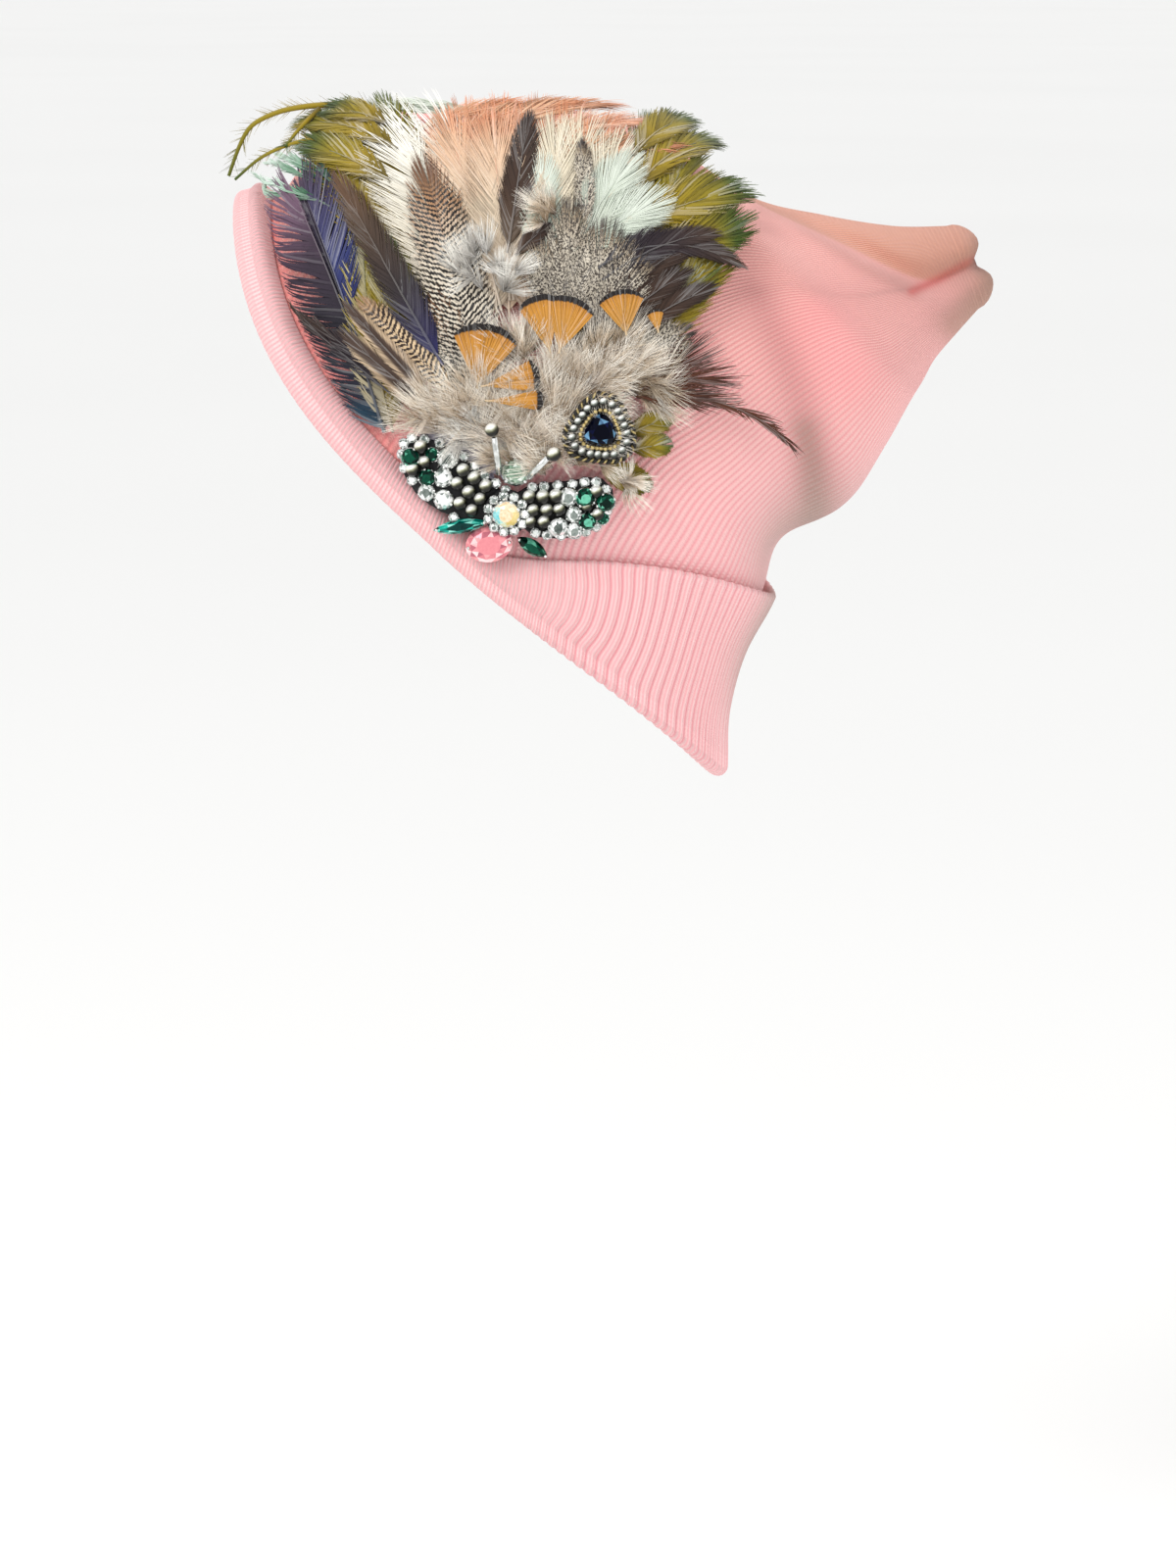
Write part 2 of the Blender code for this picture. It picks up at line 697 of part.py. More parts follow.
def make_wing(collection, material, face, name, heading, top_side):
    """A wing of the moth: a padded plate set with pearls and cut stones."""
    middle = moth_spot(face, heading, MOTH_BODY_RADIUS - WING_TUCK + WING_HALF_LENGTH)
    right, up, _ = axes_at(face, middle)
    angle = math.radians(heading)
    tip_way = right * math.cos(angle) + up * math.sin(angle)
    top_way = (up * math.cos(angle) - right * math.sin(angle)) * top_side
    low = level_height(2)
    high = low + WING_THICKNESS

    def spot(along, across):
        return middle + tip_way * (along * WING_HALF_LENGTH) + top_way * (across * WING_HALF_WIDTH)

    outline = []
    for i in range(16):
        turn = 2 * math.pi * i / 16
        along = math.copysign(abs(math.cos(turn)) ** 0.8, math.cos(turn))
        across = math.copysign(abs(math.sin(turn)) ** 0.8, math.sin(turn))
        outline.append(spot(along, across * blend(0.86, 1.0, 0.5 + along / 2)))
    plate = bmesh.new()
    closed_tube(plate, plate_rings(face, outline, low, high))
    wing = object_from(plate, name, material, collection["part"])

    stones = bmesh.new()
    for stone in WING_STONES:
        place = face.raised(spot(stone.along, stone.across), high)
        axes = axes_at(face, place)
        diameter = PEARL_DIAMETER * stone.size
        if stone.kind == "pearl":
            add_pearl(stones, place + axes[2] * (diameter * 0.28), axes, diameter)
        else:
            add_cut_stone(stones, place, axes, diameter, diameter * 0.45)
    for degrees in CRYSTAL_ANGLES:
        turn = math.radians(degrees)
        place = face.raised(spot(math.cos(turn) * 0.88, math.sin(turn) * 0.82), high)
        axes = axes_at(face, place)
        add_cut_stone(stones, place, axes, EDGE_CRYSTAL_DIAMETER, EDGE_CRYSTAL_DIAMETER * 0.6)
    fuse(wing, object_from(stones, name + "_stones", material, collection["guides"]))
    return wing


def make_moth_body(collection, material, face):
    """The moth's round body over the wings' roots: a flower of crystals round one stone."""
    centre = moth_spot(face, 0, 0)
    right, up, _ = axes_at(face, centre)
    low = level_height(2) + WING_THICKNESS + MOTH_GAP
    high = low + MOTH_BODY_THICKNESS
    pad = bmesh.new()
    outline = []
    for i in range(16):
        turn = 2 * math.pi * i / 16
        outline.append(centre + (right * math.cos(turn) + up * math.sin(turn)) * MOTH_BODY_RADIUS)
    closed_tube(pad, plate_rings(face, outline, low, high))
    body = object_from(pad, "moth_body", material, collection["part"])
    stones = bmesh.new()
    place = face.raised(centre, high)
    axes = axes_at(face, place)
    add_cut_stone(stones, place, axes, FLOWER_STONE_DIAMETER, FLOWER_STONE_DIAMETER * 0.45)
    for i in range(FLOWER_CRYSTALS):
        turn = 2 * math.pi * i / FLOWER_CRYSTALS
        ring = MOTH_BODY_RADIUS - EDGE_CRYSTAL_DIAMETER * 0.6
        spot = centre + (right * math.cos(turn) + up * math.sin(turn)) * ring
        place = face.raised(spot, high)
        axes = axes_at(face, place)
        size = EDGE_CRYSTAL_DIAMETER
        add_cut_stone(stones, place, axes, size * 0.8, size * 0.6)
    fuse(body, object_from(stones, "moth_body_stones", material, collection["guides"]))
    return body


def make_set_stone(collection, material, face, name, centre, heading, low, size, rise=0.0):
    """A pointed or round cut stone with a table, of this length, width and thickness."""
    length, width, thick = size
    right, upward, out = axes_at(face, centre)
    angle = math.radians(heading)
    along = right * math.cos(angle) + upward * math.sin(angle)
    beside = out.cross(along)
    rings = []
    sides = 10
    for level, spread in ((0.0, 0.86), (0.36, 1.0), (1.0, 0.52)):
        ring = []
        for i in range(sides):
            turn = 2 * math.pi * i / sides
            pinch = blend(abs(math.sin(turn)), 1.0, width / length)
            place = centre + along * (math.cos(turn) * length / 2 * spread)
            place += beside * (math.sin(turn) * pinch * width / 2 * spread)
            lift = low + thick * level + rise * (1 + math.cos(turn) * spread) / 2
            ring.append(face.nearest(place)[0] + out * lift)
        rings.append(ring)
    mesh = bmesh.new()
    closed_tube(mesh, rings)
    return object_from(mesh, name, material, collection["part"])


def make_moth_stones(collection, materials, face):
    """The moth's head, tail and leaves, round its body."""
    size = HEAD_STONE_DIAMETER
    spot = moth_spot(face, HEAD_STONE_HEADING, MOTH_BODY_RADIUS + size * 0.45)
    low = level_height(2)
    head = (size, size, size * 0.5)
    make_set_stone(collection, materials["clear"], face, "moth_head_stone", spot, 0, low, head)
    tail = (TAIL_STONE_LENGTH, TAIL_STONE_WIDTH, TAIL_STONE_THICKNESS)
    spot = moth_spot(face, TAIL_STONE_HEADING, MOTH_BODY_RADIUS + TAIL_STONE_LENGTH / 2)
    place = (spot, TAIL_STONE_HEADING, TAIL_STONE_FOOT, tail, TAIL_STONE_RISE)
    make_set_stone(collection, materials["rose"], face, "moth_tail_stone", *place)
    for leaf in LEAVES:
        spot = moth_spot(face, leaf.way, leaf.reach)
        size = (leaf.length, LEAF_WIDTH, LEAF_THICKNESS)
        glass = materials["emerald"]
        place = (spot, leaf.heading, leaf.foot, size, leaf.rise)
        make_set_stone(collection, glass, face, leaf.name, *place)


def make_antenna(collection, materials, face, name, way, heading):
    """A glass rod that stands up from the body over the down, with a pearl at its end."""
    start = moth_spot(face, way, ANTENNA_REACH)
    low = level_height(2) + MOTH_GAP + ANTENNA_DIAMETER
    foot = face.raised(start, low)
    end = face.raised(start + face.heading_at(start, heading) * ANTENNA_LENGTH, low + ANTENNA_RISE)
    run = (end - foot).normalized()
    side = run.orthogonal().normalized()
    other = run.cross(side)
    rings = []
    for place in (foot, end):
        ring = []
        for i in range(BEAD_SIDES):
            turn = 2 * math.pi * i / BEAD_SIDES
            offset = side * math.cos(turn) + other * math.sin(turn)
            ring.append(place + offset * (ANTENNA_DIAMETER / 2))
        rings.append(ring)
    rod = bmesh.new()
    closed_tube(rod, rings)
    object_from(rod, name, materials["silver"], collection["part"])
    bead = bmesh.new()
    radius = PEARL_DIAMETER / 2
    add_pearl(bead, end + run * (radius + MOTH_GAP), (side, other, run), radius * 2)
    object_from(bead, name + "_pearl", materials["pearl"], collection["part"])


def heart_outline(size, count):
    """A rounded, upright drop with two low lobes, about its middle, as (right, up) pairs."""
    points = []
    for i in range(count):
        turn = 2 * math.pi * i / count
        radius = size / 2 * (0.93 + 0.10 * math.cos(3 * (turn - math.pi / 2)))
        points.append((radius * math.cos(turn), radius * math.sin(turn)))
    return points


def make_heart(collection, materials, face, level):
    """The heart brooch: a backing with a rope rim, a ring of pearls and a cut stone."""
    centre = face.seen_at(*HEART_PLACE)[0]
    seat = face.raised(centre, level_height(level) - HEART_SINK)
    right, up, out = axes_at(face, centre)

    def at(pair, rise):
        return seat + right * pair[0] + up * pair[1] + out * rise

    sides = 20
    inner_size = HEART_SIZE - HEART_ROPE_DIAMETER * 2
    tray_size = HEART_SIZE - HEART_ROPE_DIAMETER * 1.2
    backing = bmesh.new()
    outline = heart_outline(tray_size, sides)
    closed_tube(backing, [[at(p, 0.0) for p in outline], [at(p, HEART_THICKNESS) for p in outline]])
    body = object_from(backing, "heart_setting", materials["antique"], collection["part"])
    trim = bmesh.new()
    rope = heart_outline(HEART_SIZE - HEART_ROPE_DIAMETER, sides)
    hoop = []
    for i, pair in enumerate(rope):
        radial = (right * pair[0] + up * pair[1]).normalized()
        middle = at(pair, HEART_THICKNESS * 0.55)
        ring = []
        for k in range(ROPE_SIDES):
            turn = 2 * math.pi * (k / ROPE_SIDES + ROPE_TURNS * i / sides)
            ring.append(
                middle
                + radial * (math.cos(turn) * HEART_ROPE_DIAMETER / 2)
                + out * (math.sin(turn) * HEART_ROPE_DIAMETER / 2)
            )
        hoop.append([trim.verts.new(point) for point in ring])
    for i in range(sides):
        here, there = hoop[i], hoop[(i + 1) % sides]
        for k in range(ROPE_SIDES):
            j = (k + 1) % ROPE_SIDES
            trim.faces.new((here[k], here[j], there[j], there[k]))
    for pair in heart_outline(inner_size - HEART_PEARL_DIAMETER * 1.15, HEART_PEARLS):
        spot = at(pair, HEART_THICKNESS + HEART_PEARL_DIAMETER * 0.2)
        add_pearl(trim, spot, (right, up, out), HEART_PEARL_DIAMETER)
    fuse(body, object_from(trim, "heart_setting_trim", materials["antique"], collection["guides"]))

    stone = bmesh.new()
    rings = []
    foot = HEART_THICKNESS + MOTH_GAP
    for level_share, spread in ((0.0, 0.9), (0.35, 1.0), (1.0, 0.5)):
        outline = heart_outline(HEART_STONE_SIZE * spread, 12)
        rings.append([at(p, foot + HEART_STONE_THICKNESS * level_share) for p in outline])
    closed_tube(stone, rings)
    object_from(stone, "heart_stone", materials["sapphire"], collection["part"])


def make_materials():
    """The colours of the pieces."""
    return {
        "knit": material_named("pink_knit", (0.93, 0.50, 0.50), 0.95),
        "rib": material_named("pink_rib_knit", (0.95, 0.56, 0.56), 0.95),
        "olive": material_named("olive_plume", (0.27, 0.26, 0.02), 0.8),
        "violet": material_named("violet_plume", (0.07, 0.05, 0.12), 0.8),
        "pale": material_named("pale_plume", (0.68, 0.62, 0.50), 0.8),
        "barred": material_named("barred_feather", (0.36, 0.30, 0.25), 0.7),
        "hackle": material_named("brown_hackle", (0.14, 0.08, 0.06), 0.6),
        "amber": material_named("amber_feather", (0.75, 0.36, 0.05), 0.6),
        "down": material_named("grey_down", (0.55, 0.46, 0.38), 0.95),
        "jet": material_named("jet_setting", (0.35, 0.36, 0.34), 0.3, 0.6),
        "silver": material_named("silver_rod", (0.80, 0.80, 0.80), 0.2, 1.0),
        "pearl": material_named("grey_pearl", (0.50, 0.50, 0.44), 0.2, 0.7),
        "emerald": material_named("emerald_glass", (0.0, 0.25, 0.17), 0.1),
        "rose": material_named("rose_glass", (0.85, 0.35, 0.38), 0.1),
        "clear": material_named("clear_crystal", (0.85, 0.88, 0.85), 0.05),
        "antique": material_named("antique_gilt", (0.35, 0.29, 0.16), 0.35, 0.8),
        "sapphire": material_named("sapphire_glass", (0.01, 0.02, 0.09), 0.1),
    }


def main():
    """Builds the beanie."""
    clear_scene()
    part = collection_named("feathered_beanie")
    guides = collection_named("guides")
    both = {"part": part, "guides": guides}
    paint = make_materials()
    make_crown(part, paint["knit"])
    make_cuff(part, paint["rib"])
    face = CrownFace()
    make_feather_group(both, paint["olive"], face, "olive_plumes", OLIVE, OLIVE_PAD, 0)
    make_feather_group(both, paint["violet"], face, "violet_plume", VIOLET, VIOLET_PAD, 1)
    make_feather_group(both, paint["pale"], face, "pale_plumes", PALE, PALE_PAD, 1)
    make_feather_group(both, paint["barred"], face, "barred_feathers", BARRED, BARRED_PAD, 2)
    make_feather_group(both, paint["hackle"], face, "hackle_feathers", HACKLES, HACKLE_PAD, 3)
    make_feather_group(both, paint["amber"], face, "amber_feathers", AMBER, AMBER_PAD, 4)
    make_down(both, paint["down"], face, 5)
    for name, heading, top_side in WINGS:
        make_wing(both, paint["jet"], face, name, heading, top_side)
    make_moth_body(both, paint["jet"], face)
    make_moth_stones(both, paint, face)
    for name, way, heading in ANTENNAE:
        make_antenna(both, paint, face, name, way, heading)
    make_heart(both, paint, face, 4)


main()
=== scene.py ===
"""Looks of the feathered beanie: its knit, cuff, feather cockade, moth brooch and heart brooch.

Metres, +Z up as worn, the face towards -Y, the wearer's left, with the trim, towards +X.
Places in the layout are millimetres across (to the back) and up from the seat, as the camera
sees them on a plane through the seat.
"""

import bisect
import logging
import math
from dataclasses import dataclass
from enum import Enum
from typing import Callable, NamedTuple, Sequence

import bmesh
import bpy
import numpy as np
from mathutils import Matrix, Vector
from mathutils.bvhtree import BVHTree


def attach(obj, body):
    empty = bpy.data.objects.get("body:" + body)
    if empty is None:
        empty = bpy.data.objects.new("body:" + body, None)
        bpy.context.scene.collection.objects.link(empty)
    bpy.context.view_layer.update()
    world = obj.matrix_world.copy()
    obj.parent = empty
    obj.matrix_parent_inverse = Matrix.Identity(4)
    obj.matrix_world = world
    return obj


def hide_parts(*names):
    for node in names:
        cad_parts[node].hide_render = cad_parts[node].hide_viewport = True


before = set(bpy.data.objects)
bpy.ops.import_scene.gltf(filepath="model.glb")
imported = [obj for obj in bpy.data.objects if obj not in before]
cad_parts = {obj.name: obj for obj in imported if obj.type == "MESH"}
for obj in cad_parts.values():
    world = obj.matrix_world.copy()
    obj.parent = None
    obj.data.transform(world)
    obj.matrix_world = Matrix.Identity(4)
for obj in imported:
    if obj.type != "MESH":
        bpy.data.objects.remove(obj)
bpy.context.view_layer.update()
LOG = logging.getLogger("beanie")
BODY = "root"
MM = 0.001


def srgb(red: float, green: float, blue: float) -> tuple[float, float, float, float]:
    """A colour given as 0 to 255 values, as the shader wants it.

    Args:
        red, green, blue: The display values.

    Returns:
        Linear red, green, blue and an alpha of 1.
    """
    linear = [((v / 255 + 0.055) / 1.055) ** 2.4 if v > 10 else v / 255 / 12.92 for v in (red, green, blue)]
    return (linear[0], linear[1], linear[2], 1.0)


def blend(a: float, b: float, share: float) -> float:
    """The value that lies this share of the way from a to b."""
    return a + (b - a) * share


def smooth_step(value: float) -> float:
    """0 below 0, 1 above 1 and a soft rise between."""
    value = min(1.0, max(0.0, value))
    return value * value * (3 - 2 * value)


# ---- the sack's form -------------------------------------------------------------------------


class Section(NamedTuple):
    """A section of the sack, square to its spine; see Sack."""

    front_y: float
    front_z: float
    back_y: float
    back_z: float
    half_width: float
    bow: float
    hollow: float
    square: float
    seam: float
    lap: float
    seam_angle: float


class Fold(NamedTuple):
    """A slack fold from one angle and row to another, its half width in rows and its depth."""

    from_angle: float
    from_row: float
    to_angle: float
    to_row: float
    half_width: float
    depth: float


SECTIONS = [
    Section(-0.337, -0.132, 0.274, -0.976, 0.470, 0.068, 0.000, 0.85, 0.000, 0.000, 0),
    Section(-0.312, -0.108, 0.276, -0.900, 0.472, 0.067, 0.030, 0.87, 0.000, 0.000, 0),
    Section(-0.288, -0.073, 0.296, -0.808, 0.488, 0.062, 0.030, 0.90, 0.000, 0.000, 0),
    Section(-0.251, -0.040, 0.332, -0.729, 0.500, 0.055, 0.012, 0.92, 0.000, 0.000, 0),
    Section(-0.189, -0.012, 0.361, -0.665, 0.500, 0.045, 0.000, 0.92, 0.000, 0.000, 0),
    Section(-0.102, 0.004, 0.409, -0.616, 0.482, 0.034, 0.000, 0.92, 0.000, 0.000, 0),
    Section(0.000, 0.010, 0.457, -0.562, 0.452, 0.022, 0.000, 0.92, 0.000, 0.000, 0),
    Section(0.104, -0.006, 0.494, -0.498, 0.410, 0.012, 0.000, 0.92, 0.000, 0.000, 0),
    Section(0.209, -0.052, 0.524, -0.436, 0.356, 0.005, 0.000, 0.94, 0.006, 0.004, 2),
    Section(0.313, -0.126, 0.541, -0.404, 0.285, 0.000, 0.000, 0.96, 0.016, 0.012, 14),
    Section(0.409, -0.156, 0.557, -0.371, 0.215, 0.000, 0.000, 1.00, 0.026, 0.016, 46),
    Section(0.501, -0.173, 0.585, -0.333, 0.155, 0.000, 0.000, 1.00, 0.036, 0.000, 86),
    Section(0.570, -0.173, 0.613, -0.297, 0.105, 0.000, 0.000, 1.00, 0.036, 0.000, 90),
]
LAST = len(SECTIONS) - 1
FOLDS = [Fold(92, 7.4, 168, 4.2, 0.85, 0.036), Fold(150, 6.2, 176, 5.4, 0.60, -0.012)]


@dataclass(frozen=True)
class Sack:
    """The knitted sack's outside: angle runs round from the front over the left side, and row
    from 0 at the rim to the gathered point. It is the same form as the CAD crown's."""

    length: float = 0.282
    height: float = 0.246
    width: float = 0.166
    bow_lean: float = 1.17
    point_reach: float = 0.0108
    seam_spread: float = 0.30
    degrees_a_row: float = 26.0

    @staticmethod
    def section(row: float) -> Section:
        """The section at any row, on a smooth curve through those of the table."""
        row = min(float(LAST), max(0.0, row))
        low = min(int(row), LAST - 1)
        t = row - low
        rows = [SECTIONS[min(LAST, max(0, low + step))] for step in (-1, 0, 1, 2)]
        square, cube = t * t, t * t * t
        weights = (
            -0.5 * cube + square - 0.5 * t,
            1.5 * cube - 2.5 * square + 1,
            -1.5 * cube + 2 * square + 0.5 * t,
            0.5 * cube - 0.5 * square,
        )
        return Section(*(sum(w * v for w, v in zip(weights, values)) for values in zip(*rows)))

    def fold_depth(self, angle: float, row: float) -> float:
        """How deep the slack folds are here, the same on both sides of the sack."""
        degrees = math.degrees(math.acos(math.cos(angle)))
        depth = 0.0
        for fold in FOLDS:
            run_a, run_r = (fold.to_angle - fold.from_angle) / self.degrees_a_row, fold.to_row - fold.from_row
            a, r = (degrees - fold.from_angle) / self.degrees_a_row, row - fold.from_row
            share = min(1.0, max(0.0, (a * run_a + r * run_r) / (run_a**2 + run_r**2)))
            away = math.hypot(a - run_a * share, r - run_r * share) / fold.half_width
            depth += fold.depth * math.exp(-away * away)
        return depth * self.width

    def point(self, angle: float, row: float) -> Vector:
        """A point on the sack's outside.

        Args:
            angle: Radians round from the front, over the wearer's left.
            row: Rows up from the rim; past the last it closes the point.

        Returns:
            The point.
        """
        s = self.section(row)
        front = Vector((0, s.front_y * self.length, s.front_z * self.height))
        back = Vector((0, s.back_y * self.length, s.back_z * self.height))
        centre = (front + back) / 2
        up_way = (front - centre).normalized()
        half_depth = (front - centre).length
        side_way = Vector((1, 0, 0))
        face_way = Vector((0, -up_way.z, up_way.y))
        closing = math.radians(90 * max(0.0, row - LAST))
        closed, ended = math.cos(closing), math.sin(closing)
        across, along = math.sin(angle), math.cos(angle)
        wide = math.copysign(abs(across) ** s.square, across) * closed
        deep = math.copysign(abs(along) ** s.square, along) * closed
        point = centre + side_way * (wide * s.half_width * self.width) + up_way * (deep * half_depth)
        point -= face_way * (ended * self.point_reach)
        point += face_way * (s.bow * self.length * across * across * (1 + self.bow_lean * along))
        inward = (centre - point).normalized()
        point += inward * (s.hollow * self.width * max(0.0, math.cos(angle / 2) ** 2 * 2 - 0.9))
        point += inward * (self.fold_depth(angle, row) * closed)
        seam_angle = math.radians(s.seam_angle)
        seam_way = side_way * math.sin(seam_angle) + up_way * math.cos(seam_angle)
        sunk_way = (seam_way * closed - face_way * ended).normalized()
        beside = closed * math.sin(angle - seam_angle) / self.seam_spread
        facing = closed * math.cos(angle - seam_angle) + 1.2 * ended
        near = smooth_step((facing + 0.2) / 0.6)
        depth = s.seam * math.exp(-beside * beside) - s.lap * beside * math.exp(-beside * beside / 2)
        return point - sunk_way * (depth * self.width * near)

    def centre(self, row: float) -> Vector:
        """The middle of the section at this row."""
        s = self.section(row)
        return Vector((0, (s.front_y + s.back_y) / 2 * self.length, (s.front_z + s.back_z) / 2 * self.height))

    def frame_at(self, angle: float, row: float) -> tuple[Vector, Vector, Vector]:
        """A point on the outside, the way out and the way down to the rim."""
        step = 0.02
        point = self.point(angle, row)
        round_way = self.point(angle + step, row) - self.point(angle - step, row)
        up_way = self.point(angle, row + step) - self.point(angle, max(0.0, row - step))
        out = round_way.cross(up_way).normalized()
        if out.dot(point - self.centre(row)) < 0:
            out = -out
        return point, out, -up_way.normalized()

    def even_angles(self, columns: int) -> list[float]:
        """Angles round the rim that space the columns evenly along it, the first again last."""
        steps = 360
        rim = [self.point(2 * math.pi * i / steps, 0.0) for i in range(steps + 1)]
        lengths = [0.0]
        for before, after in zip(rim, rim[1:]):
            lengths.append(lengths[-1] + (after - before).length)
        angles = []
        for column in range(columns + 1):
            target = lengths[-1] * column / columns
            i = min(bisect.bisect_right(lengths, target), steps) - 1
            share = (target - lengths[i]) / (lengths[i + 1] - lengths[i])
            angles.append(2 * math.pi * (i + share) / steps)
        return angles

    def even_rows(self, count: int) -> list[float]:
        """Rows from the rim to the end of the point, evenly spaced along the left side."""
        steps = 260
        end = LAST + 1
        line = [self.point(math.pi * 0.55, end * i / steps) for i in range(steps + 1)]
        lengths = [0.0]
        for before, after in zip(line, line[1:]):
            lengths.append(lengths[-1] + (after - before).length)
        places = np.linspace(0, lengths[-1], count + 1)
        return list(np.interp(places, lengths, [end * i / steps for i in range(steps + 1)]))


SACK = Sack()


# ---- making meshes ---------------------------------------------------------------------------


def dressed(mesh: bmesh.types.BMesh, name: str, material: bpy.types.Material, smooth: bool = True) -> bpy.types.Object:
    """Turns a bmesh into a piece that rides on the hat.

    Args:
        mesh: The shape; it is freed.
        name: The piece's name.
        material: Its finish.
        smooth: Whether its faces are shaded smooth.

    Returns:
        The new object.
    """
    data = bpy.data.meshes.new(name)
    mesh.to_mesh(data)
    mesh.free()
    data.materials.append(material)
    for face in data.polygons:
        face.use_smooth = smooth
    piece = bpy.data.objects.new(name, data)
    bpy.context.scene.collection.objects.link(piece)
    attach(piece, BODY)
    LOG.info("%s: %d faces", name, len(data.polygons))
    return piece


def draped_grid(
    columns: int, rows: int, place: Callable[[int, int], Vector], marks: dict[str, Callable[[int, int], float]]
) -> bmesh.types.BMesh:
    """A grid with its own UV map, draped point by point and merged where it meets itself.

    Args:
        columns, rows: The faces each way.
        place: Where the corner of each column and row goes.
        marks: Numbers to store on the corners, by name.

    Returns:
        The draped grid.
    """
    mesh = bmesh.new()
    mesh.loops.layers.uv.new("UVMap")
    layers = [(mesh.verts.layers.float.new(name), mark) for name, mark in marks.items()]
    bmesh.ops.create_grid(mesh, x_segments=columns, y_segments=rows, size=0.5, calc_uvs=True)
    for vert in mesh.verts:
        column, row = round((vert.co.x + 0.5) * columns), round((vert.co.y + 0.5) * rows)
        for layer, mark in layers:
            vert[layer] = mark(column, row)
        vert.co = place(column, row)
    bmesh.ops.remove_doubles(mesh, verts=mesh.verts, dist=1e-6)
    return mesh


class Strands:
    """Many thin ribbons and shafts gathered into one mesh, with a UV map and a shade for each."""

    def __init__(self) -> None:
        self.points: list[np.ndarray] = []
        self.faces: list[np.ndarray] = []
        self.uvs: list[np.ndarray] = []
        self.shades: list[np.ndarray] = []
        self.count = 0

    def _keep(self, points: np.ndarray, faces: np.ndarray, uvs: np.ndarray, shades: np.ndarray) -> None:
        self.points.append(points.reshape(-1, 3))
        self.faces.append(faces.reshape(-1, 4) + self.count)
        self.uvs.append(uvs.reshape(-1, 2))
        self.shades.append(shades.reshape(-1))
        self.count += points.reshape(-1, 3).shape[0]

    def ribbons(self, centres: np.ndarray, halves: np.ndarray, uvs: np.ndarray, shades: np.ndarray) -> None:
        """Adds flat ribbons.

        Args:
            centres: Their middle lines, ribbons x points x 3.
            halves: From the middle line to one edge, the same shape.
            uvs: Ribbons x points x 2.
            shades: One value a ribbon.
        """
        count, steps = centres.shape[:2]
        points = np.stack([centres - halves, centres + halves], axis=2)
        index = np.arange(count * steps * 2).reshape(count, steps, 2)
        faces = np.stack([index[:, :-1, 0], index[:, :-1, 1], index[:, 1:, 1], index[:, 1:, 0]], axis=-1)
        both = np.repeat(uvs[:, :, None, :], 2, axis=2)
        self._keep(points, faces, both, np.repeat(shades, steps * 2))

    def shaft(self, centres: np.ndarray, radii: np.ndarray, side: np.ndarray, up: np.ndarray, shade: float) -> None:
        """Adds a round shaft of five sides along a line of points.

        Args:
            centres: Points x 3.
            radii: One a point.
            side, up: Two ways square to the line, points x 3.
            shade: The shaft's shade.
        """
        steps, sides = len(centres), 5
        turn = np.arange(sides) * 2 * math.pi / sides
        ring = side[:, None] * np.cos(turn)[None, :, None] + up[:, None] * np.sin(turn)[None, :, None]
        points = centres[:, None] + ring * radii[:, None, None]
        index = np.arange(steps * sides).reshape(steps, sides)
        near = np.roll(index, -1, axis=1)
        faces = np.stack([index[:-1], near[:-1], near[1:], index[1:]], axis=-1)
        uvs = np.stack([np.repeat(np.linspace(0, 1, steps), sides), np.full(steps * sides, 0.5)], axis=-1)
        self._keep(points, faces, uvs, np.full(steps * sides, shade))

    def made(self, name: str, material: bpy.types.Material) -> bpy.types.Object:
        """Turns what was gathered into a piece that rides on the hat."""
        data = bpy.data.meshes.new(name)
        points, faces = np.concatenate(self.points), np.concatenate(self.faces)
        data.from_pydata(points.tolist(), [], faces.tolist())
        corner = np.zeros(len(data.loops), dtype=np.int64)
        data.loops.foreach_get("vertex_index", corner)
        layer = data.uv_layers.new(name="UVMap")
        layer.data.foreach_set("uv", np.concatenate(self.uvs)[corner].astype(np.float32).ravel())
        shade = data.attributes.new("shade", "FLOAT", "POINT")
        shade.data.foreach_set("value", np.concatenate(self.shades).astype(np.float32))
        data.polygons.foreach_set("use_smooth", [True] * len(data.polygons))
        data.materials.append(material)
        data.update()
        piece = bpy.data.objects.new(name, data)
        bpy.context.scene.collection.objects.link(piece)
        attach(piece, BODY)
        LOG.info("%s: %d faces", name, len(data.polygons))
        return piece


# ---- finishes --------------------------------------------------------------------------------


